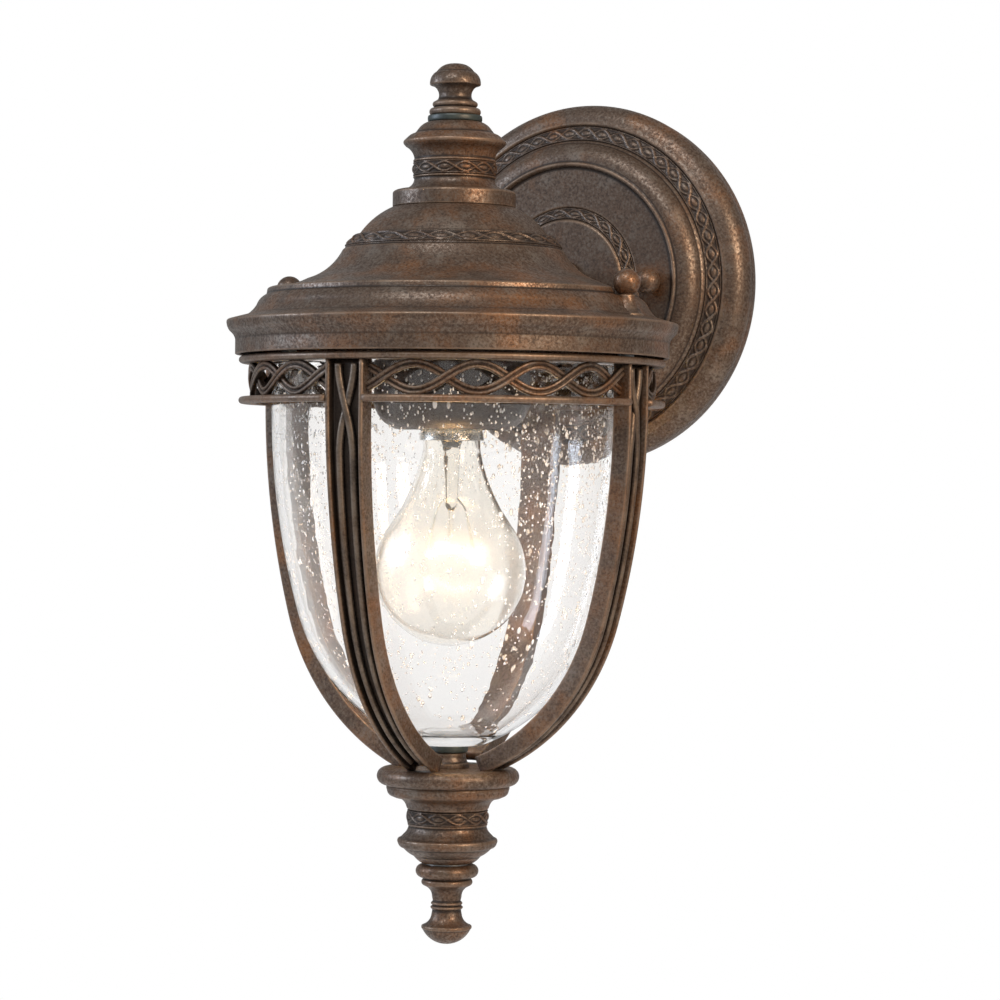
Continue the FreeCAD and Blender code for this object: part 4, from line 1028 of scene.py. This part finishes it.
@dataclass
class Arm:
    """Short round arm with a moulded collar at each end."""

    radius: float = 7.5
    bore: float = 5.3
    reach: float = 84.0

    def build(self, paint: bpy.types.Material) -> None:
        """Turns the arm from the plate to the roof's pad.

        Args:
            paint: the castings' finish.
        """
        start = -high("arm_tube").y
        arm = traced((self.bore, self.reach), (9.6, self.reach), (9.6, 76.0), (self.radius + 0.6, 72.6, -0.9),
                     (self.radius, 70.0), (self.radius, start + 5.6), (8.9, start + 2.6, -0.6),
                     (8.9, start + 0.4, 0.5), (8.5, start), (self.bore, start))
        obj = turned("arm", arm, True, Way.OUT, (0.0, 0.0, 0.0), 96)
        finish_piece(obj, paint, "lantern", "bronze", "arm_tube")


@dataclass
class BallNuts:
    """Ball-headed nuts on the plate's and the roof's studs."""

    ball: float = 5.3
    collar: float = 2.9
    collar_height: float = 0.4
    bore: float = 2.05
    depth: float = 6.3

    def build(self, paint: bpy.types.Material) -> None:
        """Makes the four nuts from one outline: two arcs of one ball above a short collar.

        Args:
            paint: the castings' finish.
        """
        centre = self.collar_height + math.sqrt(self.ball ** 2 - self.collar ** 2)
        crown = self.ball * (1 - math.cos(math.radians(45)))
        over = math.asin(self.collar / self.ball)
        lower = self.ball * (1 - math.cos((math.pi / 2 - over) / 2))
        nut = traced((0, centre + self.ball), (self.ball, centre, crown),
                     (self.collar, self.collar_height, lower), (self.collar, 0), (self.bore, 0),
                     (self.bore, self.depth), (0, self.depth))
        for place in ("left", "right"):
            node = "roof_ball_nut_" + place
            at = (middle(node).x, middle(node).y, low(node).z)
            obj = turned("roof_nut_" + place, nut, False, Way.UP, at, 64)
            finish_piece(obj, paint, node, "bronze", node)
            node = "plate_ball_nut_" + place
            at = (middle(node).x, high(node).y, middle(node).z)
            obj = turned("plate_nut_" + place, nut, False, Way.OUT, at, 64)
            finish_piece(obj, paint, node, "bronze", node)


# ---------------------------------------------------------------- cage
@dataclass(frozen=True)
class RibLine:
    """A rib's outer face in the plane through the axis: upright, a long sweep, then a tight one."""

    radius: float = 82.9
    sweep: float = 320.0
    drop: float = 85.0
    foot_sweep: float = 90.7
    top: float = -38.15
    bend: float = -54.1         # height where the long sweep starts

    def run(self, inset: float, end_radius: float, top: float, gap: float = 2.0) -> tuple[Array, Array]:
        """Points and outward normals down the line, inset from the outer face.

        The arcs are centre + (radius - inset) * (cos a, -sin a), a from level downwards.

        Args:
            inset: distance inside the outer face, mm.
            end_radius: distance from the axis where the line stops, mm.
            top: height where it starts, mm.
            gap: distance between points, mm.

        Returns:
            Points (n, 2) and unit normals (n, 2), as (r, z).
        """
        turn = math.asin(self.drop / self.sweep)
        first = np.array([self.radius - self.sweep, self.bend])
        second = first + (self.sweep - self.foot_sweep) * np.array([math.cos(turn), -math.sin(turn)])
        last = math.acos((end_radius - second[0]) / (self.foot_sweep - inset))
        upright = np.linspace(top, self.bend, max(3, int((top - self.bend) / gap)), endpoint=False)
        a = np.linspace(0, turn, int(self.drop / gap), endpoint=False)
        b = np.linspace(turn, last, int(self.foot_sweep * (last - turn) / gap))
        points = [np.stack([np.full_like(upright, self.radius - inset), upright], 1),
                  first + (self.sweep - inset) * np.stack([np.cos(a), -np.sin(a)], 1),
                  second + (self.foot_sweep - inset) * np.stack([np.cos(b), -np.sin(b)], 1)]
        angles = np.concatenate([np.zeros_like(upright), a, b])
        return np.concatenate(points), np.stack([np.cos(angles), -np.sin(angles)], 1)


def swung(flat: Array, side: Array | float, turn: float) -> Array:
    """Carries (r, z) and a sideways distance to x, y, z at an angle round the axis.

    Args:
        flat: places (n, 2) as (r, z) in millimetres.
        side: distance sideways, for all of them or each.
        turn: the angle round the axis in radians.

    Returns:
        Places (n, 3) in millimetres.
    """
    at = along_axis(0.0)
    c, s = math.cos(turn), math.sin(turn)
    r, z, side = flat[..., 0], flat[..., 1], side + 0 * flat[..., 0]
    return np.stack([at[0] + r * c - side * s, at[1] + r * s + side * c, z], -1)


@dataclass
class Ribs:
    """Four channelled ribs, each with two reeds that cross once and then run side by side."""

    line: RibLine = RibLine()
    width: float = 16.5
    depth: float = 7.4
    taper: float = 1.9          # each side leans in by this much at the hub
    flange: float = 1.7
    channel: float = 3.4
    reed: float = 3.1           # reed width
    reed_apart: float = 3.1     # reed centre from the rib's middle
    crossing: float = -56.0     # height where the reeds cross
    ogive: float = 19.0         # fall over which they part again
    fan: float = 17.0           # rise over which they part above
    end_radius: float = 18.5

    def leaned(self, points: Array, turn: float) -> Array:
        """Narrows the rib towards its foot.

        A point at a sideways distance s moves in by taper * share * clip(s / half the channel), where
        the share grows evenly from 0 at the lower ring to 1 at the hub.

        Args:
            points: places (n, 3) in metres.
            turn: the rib's angle round the axis in radians.

        Returns:
            The moved places.
        """
        across = np.array([-math.sin(turn), math.cos(turn)])
        side = (points[:, :2] - np.array(along_axis(0.0)[:2]) * MM) @ across
        share = (self.line.bend * MM - points[:, 2]) / (self.line.bend * MM - high("hub_disc").z * MM)
        reach = np.clip(side / ((self.width / 2 - self.flange) * MM), -1, 1)
        step = self.taper * MM * np.clip(share, 0, 1) * reach
        return np.column_stack([points[:, :2] - step[:, None] * across, points[:, 2]])

    def seated(self, points: Array) -> Array:
        """Lifts whatever lies below the hub's top face to just above it."""
        return np.column_stack([points[:, :2], np.maximum(points[:, 2], (high("hub_disc").z + 0.05) * MM)])

    def section(self) -> Outline:
        """Draws the rib across: a flat bar with a channel in its outer face.

        Returns:
            The section (sideways, outward), its edge value lowest in the channel, for painted shade on its
            floor.
        """
        w, f = self.width / 2, self.width / 2 - self.flange
        shape = traced((-w, -self.depth), (w, -self.depth), (w, -0.5), (w - 0.5, 0.0), (f + 0.3, 0.0),
                       (f, -0.4), (f - 0.5, -self.channel), (0.5 - f, -self.channel), (-f, -0.4),
                       (-f - 0.3, 0.0), (0.5 - w, 0.0), (-w, -0.5))
        bar = rounded(shape, True, 0.28, gap=3.0)
        # painted shade: the flat channel floor is set to edge value -0.5, dark as a hollow
        inside = (np.abs(bar.points[:, 0]) < f - 0.1) & (bar.points[:, 1] > -self.depth / 2)
        return Outline(bar.points, np.where(inside, -0.5, bar.edge), True)

    def reed_section(self) -> Outline:
        """Draws a reed across: round above, flat below.

        Returns:
            The section (sideways, outward), its edge value highest on top: rubbed wear and painted highlight on
            its crest, painted shade on its flat underside.
        """
        w = self.reed / 2
        bar = rounded(traced((-w, -1.0), (w, -1.0), (w, 0.3), (-w, 0.3, -1.35)), True, 0.15, gap=1.5)
        # edge value by height: painted highlight and wear on top, painted shade underneath
        return Outline(bar.points, np.clip(0.9 * bar.points[:, 1] - 0.5, -0.5, 0.4), True)

    def reed_side(self, z: Array) -> Array:
        """Sideways place of a reed: a sine in to the crossing and a sine out again.

        Args:
            z: heights in millimetres.

        Returns:
            Distances from the rib's middle.
        """
        below = np.clip((self.crossing - z) / self.ogive, 0, 1)
        above = np.clip((z - self.crossing) / self.fan, 0, 1)
        return self.reed_apart * (np.sin(0.5 * math.pi * below) - 1.15 * np.sin(0.5 * math.pi * above))

    def build(self, paint: bpy.types.Material, darker: bpy.types.Material) -> None:
        """Sweeps the ribs and their reeds, each foot cut level on the hub.

        Args:
            paint: the ribs' finish.
            darker: the reeds' finish, a darker copy of the bronze as painted shade of the ribs' channels.
        """
        reeds = Surface()
        top = self.line.top
        points, normals = self.line.run(0.0, self.end_radius, top)
        reed_points, reed_normals = self.line.run(self.channel - 0.9, 25.0, top - 1.6, 1.2)
        for name, degrees in (("right", 0), ("back", 90), ("left", 180), ("front", 270)):
            turn = math.radians(degrees)
            rib = Surface()
            up = swung(normals, 0.0, turn) - np.array(along_axis(0.0))
            sweep(rib, swung(points, 0.0, turn), up, self.section(), False)
            rib.points = [self.seated(self.leaned(p, turn)) for p in rib.points]
            finish_piece(rib.build("channel_rib_" + name), paint, "cage", "bronze", "rib_" + name)
            up = swung(reed_normals, 0.0, turn) - np.array(along_axis(0.0))
            for side in (-1, 1):
                z = reed_points[:, 1]
                lift = 0.5 * side * np.exp(-((z - self.crossing) / 5.0) ** 2)
                path = reed_points + reed_normals * lift[:, None]
                sweep(reeds, swung(path, side * self.reed_side(z), turn), up, self.reed_section(), False)
                reeds.points[-1] = self.leaned(reeds.points[-1], turn)
        reeds.points = [self.seated(points) for points in reeds.points]
        finish_piece(reeds.build("reeds"), darker, "cage", "bronze", "rib_reeds")


@dataclass
class Gallery:
    """Upper ring, lower ring in four lengths, and four panels of two woven grooved strands."""

    ring: float = 84.5
    ring_inner: float = 72.9
    bar_inner: float = 77.6
    bar: float = 2.8            # thickness of both rings
    radius: float = 79.2        # middle of the strands
    pitch: float = 17.2         # degrees from crossing to crossing
    swing: float = 5.1
    weave: float = 0.8
    strand: float = 3.5
    rib_width: float = 16.5

    def strand_section(self) -> Outline:
        """Draws a strand across: two reeds with a groove between them.

        Returns:
            The section (sideways, outward), its edge value highest on top: rubbed wear and painted highlight on
            top, painted shade on its underside.
        """
        w, g = self.strand / 2, 0.22
        shape = traced((-w, -1.1), (w, -1.1), (w, 0.35), (g, 0.25, -0.62), (-g, 0.25), (-w, 0.35, -0.62))
        bar = rounded(shape, True, 0.13, gap=1.2)
        # edge value by height: painted highlight and wear on top, painted shade underneath
        return Outline(bar.points, np.clip(1.3 * bar.points[:, 1] - 0.75, -0.5, 0.4), True)

    def bar_section(self, inner: float) -> Array:
        """The rings across: flat with a rounded outer edge, its foot at 0."""
        edge = self.ring - self.bar / 2
        return traced((inner, self.bar), (edge, self.bar), (edge, 0, self.bar / 2 - 0.01), (inner, 0))

    def build(self, paint: bpy.types.Material) -> None:
        """Turns the upper ring, sweeps the lower bars and weaves the panels.

        With phase = pi * degrees / pitch the strands lie at z = +-swing * sin phase and stand
        in or out by weave * cos phase, so that they pass over and under by turns.

        Args:
            paint: the castings' finish.
        """
        obj = turned("gallery_upper_ring", self.bar_section(self.ring_inner), True, Way.UP,
                     along_axis(low("upper_ring").z), 240)
        finish_piece(obj, paint, "cage", "bronze", "upper_ring")
        bars, panels = Surface(), Surface()
        section = rounded(self.bar_section(self.bar_inner) - np.array([self.ring, 0.0]), True, 0.25)
        flat = Outline(section.points[:, ::-1], section.edge, True)
        foot = low("lower_ring").z
        centre = middle("fretwork_panels").z
        half_gap = math.asin(self.rib_width / 2 / self.radius)
        start, stop = half_gap - 0.004, math.pi / 2 - half_gap + 0.004
        at = np.array(along_axis(foot))
        for quarter in range(4):
            t = np.linspace(start, stop, 64) + quarter * math.pi / 2
            out = np.stack([np.cos(t), np.sin(t), 0 * t], 1)
            sweep(bars, at + self.ring * out, out, Outline(flat.points * [-1, 1], flat.edge, True), False)
            t = np.linspace(start, stop, 116) + quarter * math.pi / 2
            phase = (np.degrees(t) - 90 * quarter - 45) / self.pitch * math.pi
            for side in (-1, 1):
                r = self.radius + side * self.weave * np.cos(phase)
                z = centre + side * self.swing * np.sin(phase)
                path = np.stack([r * np.cos(t), r * np.sin(t), z], 1) + np.array([at[0], at[1], 0.0])
                out = np.stack([np.cos(t), np.sin(t), 0 * t], 1)
                sweep(panels, path, out, self.strand_section(), False)
        finish_piece(bars.build("gallery_lower_ring"), paint, "cage", "bronze", "lower_ring")
        finish_piece(panels.build("woven_fretwork"), paint, "cage", "bronze", "fretwork_panels")


# ---------------------------------------------------------------- bowl, seeds and foot
@dataclass
class Bowl:
    """Blown bowl with a thick level foot, and the air seeds in its wall."""

    line: RibLine = RibLine()
    inset: float = 11.5
    wall: float = 3.0
    base: float = 6.0
    foot_radius: float = 14.5
    small_seeds: int = 5600
    large_seeds: int = 300

    def build(self, glass: bpy.types.Material, air: bpy.types.Material) -> None:
        """Turns the bowl and scatters its seeds.

        Args:
            glass: the bowl's finish.
            air: the seeds' finish.
        """
        foot = low("glass_bowl").z
        rim = high("glass_bowl").z
        outside, _ = self.line.run(self.inset, self.foot_radius, rim - 1.5, 1.5)
        inside, _ = self.line.run(self.inset + self.wall, 1.0, rim - 1.5, 1.5)
        floor = foot + self.base
        inside = inside[inside[:, 1] > floor]
        gap = (outside[0, 0] - inside[0, 0]) / 2
        turn = np.linspace(math.pi, 0, 9)[1:-1]
        lip = np.array([(outside[0] + inside[0]) / 2]) + gap * np.stack([np.cos(turn), np.sin(turn)], 1)
        below = [[0.0, foot + 0.6], [10.5, foot + 0.6], [11.5, foot], [13.6, foot]]
        path = np.concatenate([below, outside[::-1], lip[::-1], inside, [[0.0, floor]]])
        surface = Surface()
        turn_outline(surface, rounded(path, False, 0.5, 5.0, 3.0), Way.UP, along_axis(0.0), 192)
        finish_piece(surface.build("seeded_bowl"), glass, "cage", "seeded_glass", "glass_bowl")
        rng = np.random.default_rng(7)
        share = rng.beta(1.0, 2.2, self.small_seeds)
        self.scatter("air_seeds_small", air, low_ball(5, 4), share, (0.28, 0.46), rng)
        share = rng.beta(1.6, 1.5, self.large_seeds)
        self.scatter("air_seeds_large", air, low_ball(8, 6), share, (0.45, 0.95), rng)

    def scatter(self, name: str, air: bpy.types.Material, shape: tuple[Array, list[Array]],
                share: Array, sizes: tuple[float, float], rng: np.random.Generator) -> None:
        """Seeds inside the wall, each a small ball stretched up the wall.

        A seed's points are centre + size * (ring, height, depth).

        Args:
            name: name of the piece.
            air: finish.
            shape: points and faces of a ball of radius 1.
            share: each seed's place down the wall, 0 at the rim and 1 at the foot.
            sizes: smallest and largest radius, mm.
            rng: source of the random places.
        """
        line, normal = self.line.run(self.inset, self.foot_radius + 4.0, high("glass_bowl").z - 3.0, 0.5)
        length = np.concatenate([[0], np.cumsum(np.linalg.norm(np.diff(line, axis=0), axis=1))])
        index = np.interp(share * length[-1], length, np.arange(len(line)))
        count = len(share)
        size = rng.uniform(*sizes, count)
        deep = rng.uniform(0.25, 0.75, count) * self.wall
        deep = np.clip(deep, size + 0.15, self.wall - size - 0.15)
        flat = np.stack([np.interp(index, np.arange(len(line)), line[:, k]) for k in (0, 1)], 1)
        out = np.stack([np.interp(index, np.arange(len(line)), normal[:, k]) for k in (0, 1)], 1)
        flat = flat - out * deep[:, None]
        turn = rng.uniform(0, TAU, count)
        stretch = np.where(size > 0.4, rng.uniform(1.1, 2.1, count), rng.uniform(0.9, 1.4, count))
        ball, faces = shape
        c, s = np.cos(turn), np.sin(turn)
        at = np.array(along_axis(0.0))
        centre = np.stack([at[0] + flat[:, 0] * c, at[1] + flat[:, 0] * s, flat[:, 1]], 1)
        outward = np.stack([out[:, 0] * c, out[:, 0] * s, out[:, 1]], 1)
        around = np.stack([-s, c, 0 * c], 1)
        up = np.cross(outward, around)
        place = centre[:, None, :] + size[:, None, None] * (
            ball[None, :, 0, None] * around[:, None, :] + ball[None, :, 1, None] * outward[:, None, :]
            + (stretch[:, None] * ball[None, :, 2])[..., None] * up[:, None, :])
        n = len(ball)
        shift = (np.arange(count) * n)[:, None, None]
        all_faces = [(f[None] + shift).reshape(-1, f.shape[1]) for f in faces]
        obj = add_mesh(name, place.reshape(-1, 3) * MM, all_faces)
        finish_piece(obj, air, "cage", "seeded_glass")


def low_ball(sides: int, bands: int) -> tuple[Array, list[Array]]:
    """A unit ball with few faces: rings (sin b cos a, sin b sin a, cos b) between two poles.

    Args:
        sides: points round each ring.
        bands: bands of faces from pole to pole.

    Returns:
        Its points (n, 3) and its faces.
    """
    a = np.arange(sides) * TAU / sides
    b = np.arange(1, bands)[:, None] * math.pi / bands
    rings = np.stack([np.sin(b) * np.cos(a), np.sin(b) * np.sin(a), np.cos(b) + 0 * a], -1).reshape(-1, 3)
    points = np.concatenate([rings, [[0, 0, 1], [0, 0, -1]]])
    index = np.arange(sides * (bands - 1)).reshape(bands - 1, sides)
    right = np.roll(index, -1, 1)
    quads = np.stack([index[:-1], index[1:], right[1:], right[:-1]], -1).reshape(-1, 4)
    top = np.stack([np.full(sides, len(rings)), index[0], right[0]], -1)
    foot = np.stack([np.full(sides, len(rings) + 1), right[-1], index[-1]], -1)
    return points, [quads, top, foot]


@dataclass
class Foot:
    """Under the bowl: rubber cushion, post, hub disc, waisted cup with a braid, and finial."""

    rod_hole: float = 3.35
    hub: float = 28.0
    braid: Braid = Braid(12)

    def build(self, paint: bpy.types.Material, rubber: bpy.types.Material) -> None:
        """Turns the five pieces.

        Args:
            paint: the castings' finish.
            rubber: the cushion's finish.
        """
        seat = high("glass_cushion").z - low("glass_cushion").z
        pad = traced((0, seat), (7.4, seat), (7.8, seat - 0.8, 0.15), (7.8, 0.7), (7.3, 0, 0.15), (0, 0))
        obj = turned("bowl_cushion", pad, False, Way.UP, along_axis(low("glass_cushion").z), 96)
        finish_piece(obj, rubber, "cage", "rubber", "glass_cushion")
        top = high("glass_post").z - low("glass_post").z
        post = traced((0, top), (6.4, top), (7.0, top - 0.6, 0.15), (7.4, 3.0, -0.2), (8.4, 1.8, -0.3),
                      (8.4, 0), (3.1, 0), (3.1, top - 2.0), (0, top - 2.0))
        obj = turned("bowl_post", post, False, Way.UP, along_axis(low("glass_post").z), 96)
        finish_piece(obj, paint, "cage", "bronze", "glass_post")
        thick = high("hub_disc").z - low("hub_disc").z
        disc = traced((self.rod_hole, thick), (self.hub - 3.0, thick), (self.hub - 2.4, 0, thick / 2 - 0.35),
                      (self.rod_hole, 0))
        obj = turned("hub", disc, True, Way.UP, along_axis(low("hub_disc").z), 160)
        finish_piece(obj, paint, "cage", "bronze", "hub_disc")
        self.cup(paint)
        self.finial(paint)

    def cup(self, paint: bpy.types.Material) -> None:
        """Turns the waisted cup and lays the braid in its neck.

        Args:
            paint: the castings' finish.
        """
        surface, at = Surface(), along_axis(high("lower_cup").z)
        foot = low("lower_cup").z - high("lower_cup").z
        cup = traced((self.rod_hole, 0), (24.2, 0), (24.2, -2.2, 0.3), (23.0, -4.3, 0.3), (21.9, -4.7),
                     (21.4, -5.0), (16.4, -9.0, -1.2), (16.2, -9.4), (15.8, -9.7), (15.5, -9.9), (15.5, -15.3),
                     (15.9, -15.5), (15.9, -16.0), (15.5, -16.3), (17.5, -19.8, -0.4), (18.2, -20.6),
                     (19.6, -21.4, -0.1), (19.7, -23.1, 0.3), (18.6, -24.8, 0.2), (17.6, -25.1),
                     (14.4, -27.8, 0.2), (13.4, -28.3), (10.6, foot + 0.2, 0.2), (10.2, foot), (8.0, foot),
                     (8.0, -28.0),
                     (14.0, -22.0), (12.6, -16.0), (13.0, -9.0), (20.0, -3.0), (self.rod_hole, -3.0))
        turn_outline(surface, rounded(cup, True), Way.UP, at, 160)
        self.braid.wrap(surface, (15.5, -9.9), (15.5, -15.3), Way.UP, at)
        finish_piece(surface.build("waisted_cup"), paint, "cage", "bronze", "lower_cup")

    def finial(self, paint: bpy.types.Material) -> None:
        """Turns the drop: bead, small bead, waist with two lines, and a round tip.

        Args:
            paint: the castings' finish.
        """
        at = along_axis(high("lower_finial").z)
        foot = low("lower_finial").z - high("lower_finial").z
        drop = traced((0, -10.0), (3.1, -10.0), (3.1, 0), (10.2, 0), (10.2, -5.2, 2.3), (9.4, -5.4),
                      (9.4, -5.7), (9.2, -8.4, 0.9), (8.4, -8.8), (5.9, -12.8, -0.7), (5.5, -14.6),
                      (6.0, -15.0), (6.2, -15.8, 0.2), (5.6, -16.3), (6.3, -16.7), (6.3, -17.5, 0.2),
                      (5.7, -18.0), (6.1, -20.4), (9.6, -24.2, -0.7), (10.0, -24.9, 0.2), (9.6, -25.7, 0.2),
                      (1.5, foot, 1.3), (0, foot))
        obj = turned("drop_finial", drop, False, Way.UP, at, 128)
        finish_piece(obj, paint, "lower_finial", "bronze", "lower_finial")


# ---------------------------------------------------------------- lamp
@dataclass
class Lamp:
    """Pear-shaped lamp glass, thin and smooth, over the CAD cap, stem and filament."""

    radius: float = 30.0
    wall: float = 0.8
    neck: float = 11.45
    lift: float = 38.0          # degrees above level where the ball meets the shoulder

    def outline(self, inset: float, foot: float, top: float) -> list[Step]:
        """Steps down the glass from the neck to the tip.

        Args:
            inset: distance inside the outer face, mm.
            foot: height of the glass's tip.
            top: height where the neck starts.

        Returns:
            Steps for traced().
        """
        ball, up = self.radius - inset, math.radians(self.lift)
        centre = foot + self.radius
        sag = ball * (1 - math.cos(up / 2))
        quarter = ball * (1 - math.cos(math.radians(45)))
        return [(self.neck - inset, top), (self.neck - inset, top - 11.0),
                (ball * math.cos(up), centre + ball * math.sin(up), -1.6), (ball, centre, sag),
                (0.0, foot + inset, quarter)]

    def build(self, glass: bpy.types.Material) -> None:
        """Turns the glass as an outer skin and an inner one that faces the hollow.

        Args:
            glass: the glass's finish.
        """
        foot, top = low("lamp_glass").z, high("lamp_glass").z
        surface, hollow = Surface(), Surface()
        for skin, inset in ((surface, 0.0), (hollow, self.wall)):
            path = traced((0.0, top - inset), *self.outline(inset, foot, top - inset))
            turn_outline(skin, rounded(path, False, 0.6, 5.0), Way.UP, along_axis(0.0), 128)
        surface.faces += [f[:, ::-1] + surface.count for f in hollow.faces]
        surface.points += hollow.points
        surface.edge += hollow.edge
        finish_piece(surface.build("lamp_bulb"), glass, "lamp", "lamp_glass", "lamp_glass")


# ---------------------------------------------------------------- camera, light and floor
@dataclass
class Studio:
    """Camera at the lantern's right front, soft lamps round it and a pale floor far below."""

    azimuth: float = 29.5       # degrees round from straight in front
    distance: float = 1.272     # camera to the lantern's axis
    height: float = -0.0793
    yaw: float = 0.876          # aim to the right of the axis, degrees
    pitch: float = -0.53
    roll: float = 0.62
    lens: float = 115.4
    floor_drop: float = 0.45    # floor below the lantern
    floor_half: float = 40.0    # half the floor's side
    soft: float = 0.38          # brightness of the surroundings as the metal sees them
    mirrored: float = 0.15      # what polished glass adds to it

    def camera(self, axis: Vector) -> None:
        """Places the camera and turns it to its aim.

        Args:
            axis: the lantern's upright axis, in metres.
        """
        a = math.radians(self.azimuth)
        out = self.distance
        place = Vector((axis.x + out * math.sin(a), axis.y - out * math.cos(a), self.height))
        yaw = Matrix.Rotation(a - math.radians(self.yaw), 4, "Z")
        pitch = Matrix.Rotation(math.radians(90 + self.pitch), 4, "X")
        roll = Matrix.Rotation(math.radians(self.roll), 4, "Z")
        data = bpy.data.cameras.new("camera")
        data.lens = self.lens
        camera = bpy.data.objects.new("camera", data)
        camera.matrix_world = Matrix.Translation(place) @ yaw @ pitch @ roll
        bpy.context.scene.collection.objects.link(camera)
        bpy.context.scene.camera = camera

    def lamp(self, name: str, place: Step, size: float, power: float, colour: str,
             aim: Vector) -> None:
        """Hangs one soft square lamp.

        Args:
            name: its name.
            place: where it hangs, in metres.
            size: length of its side, in metres.
            power: watts.
            colour: colour of its light.
            aim: the point that it faces.
        """
        data = bpy.data.lights.new(name, "AREA")
        data.size = size
        data.energy = power
        data.color = linear(colour)[:3]
        lamp = bpy.data.objects.new(name, data)
        spot = Vector(place)
        turn = (aim - spot).to_track_quat("-Z", "Y").to_matrix().to_4x4()
        lamp.matrix_world = Matrix.Translation(spot) @ turn
        bpy.context.scene.collection.objects.link(lamp)

    def build(self, axis: Vector) -> None:
        """Sets up camera, lamps, floor and surroundings, shown in plain sRGB.

        Args:
            axis: the lantern's upright axis, in metres.
        """
        bpy.context.scene.view_settings.view_transform = "Standard"
        self.camera(axis)
        aim = Vector((axis.x, axis.y, -0.08))
        self.lamp("cool_left", (-1.5, -1.0, 0.5), 0.9, 21, "#DDEBFF", aim)
        self.lamp("warm_right", (1.5, -0.6, 0.5), 0.7, 26, "#FFE0BF", aim)
        self.lamp("front_top", (0.2, -1.4, 1.5), 1.0, 22, "#FFFFFF", aim)
        level = CAD_BOX[0][2] - self.floor_drop
        corners = self.floor_half * np.array([[-1, -1, 0], [1, -1, 0], [1, 1, 0], [-1, 1, 0]], float)
        floor = add_mesh("floor", corners + np.array([0, 0, level]), [np.array([[0, 1, 2, 3]])])
        dress(floor, self.floor_paint())
        self.surround()

    def brightness(self, tree: bpy.types.NodeTree) -> bpy.types.NodeSocket:
        """Brightness of the surroundings by kind of ray.

        It is 1 where they are seen straight or through glass, soft + mirrored where a polished face
        mirrors them and soft where they light the metal.

        Args:
            tree: the world's node tree.

        Returns:
            The brightness.
        """
        ray = add_node(tree, "ShaderNodeLightPath").outputs
        clear = reckoned(tree, "MAXIMUM", ray["Is Camera Ray"], ray["Is Transmission Ray"])
        mirror = reckoned(tree, "MULTIPLY", ray["Is Singular Ray"], self.mirrored)
        return reckoned(tree, "MAXIMUM", reckoned(tree, "ADD", mirror, self.soft), clear)

    def floor_paint(self) -> bpy.types.Material:
        """Makes matt white paper that lights the lantern from below and isn't seen itself.

        Returns:
            The material.
        """
        material, tree, out = new_material("white_paper_sweep")
        shader = add_node(tree, "ShaderNodeBsdfPrincipled",
                          {"Base Color": linear("#F6F6F6"), "Roughness": 0.9}).outputs[0]
        clear = add_node(tree, "ShaderNodeBsdfTransparent").outputs[0]
        ray = add_node(tree, "ShaderNodeLightPath").outputs
        seen = reckoned(tree, "MAXIMUM", ray["Is Singular Ray"], ray["Is Transmission Ray"])
        seen = reckoned(tree, "MAXIMUM", ray["Is Camera Ray"], seen)
        tree.links.new(shaders_mixed(tree, seen, shader, clear), out.inputs[0])
        return material

    def surround(self) -> None:
        """White where seen straight or through glass, softer where it lights the metal."""
        world = bpy.data.worlds.new("studio")
        world.use_nodes = True
        bpy.context.scene.world = world
        tree = world.node_tree
        tree.nodes.clear()
        out = add_node(tree, "ShaderNodeOutputWorld")
        white = add_node(tree, "ShaderNodeBackground", {"Color": (1, 1, 1, 1)},
                         Strength=self.brightness(tree))
        tree.links.new(white.outputs[0], out.inputs[0])


def main() -> None:
    """Builds every piece in order."""
    logging.basicConfig(level=logging.INFO, format="%(message)s")
    palette = Palette()
    Studio().build(middle("top_finial") * MM)
    slots = {
        "bronze": palette.bronze, "foam": palette.foam, "rubber": palette.rubber, "zinc": palette.zinc,
        "green_screw": palette.green_zinc, "white_plastic": palette.plastic, "porcelain": palette.porcelain,
        "brass": palette.brass, "black_sleeve": palette.black_wire, "white_sleeve": palette.white_wire,
        "seeded_glass": palette.bowl, "lamp_glass": palette.lamp, "lamp_cap": palette.rolled,
        "black_glass": palette.black_glass, "solder": palette.zinc, "stem_glass": palette.lamp,
        "nickel": palette.zinc, "filament": palette.hot,
    }
    for row in frame["record"]["subparts"]:
        dress(frame["nodes"][row["node"]], slots[row["material_slot"]])
    # the holder cup gets the darker copy of the bronze: painted shade
    dress(frame["nodes"]["holder_cup"], palette.bronze_shaded_inside)
    Roof().build(palette.bronze)
    Crown().build(palette.bronze)
    TopFinial().build(palette.bronze, palette.rubber)
    WallPlate().build(palette.bronze_plate)
    Arm().build(palette.bronze)
    BallNuts().build(palette.bronze)
    Ribs().build(palette.bronze, palette.bronze_reeds_shaded)
    Gallery().build(palette.bronze)
    Bowl().build(palette.bowl, palette.seed)
    Foot().build(palette.bronze, palette.rubber)
    Lamp().build(palette.lamp)


if __name__ == "__main__":
    main()
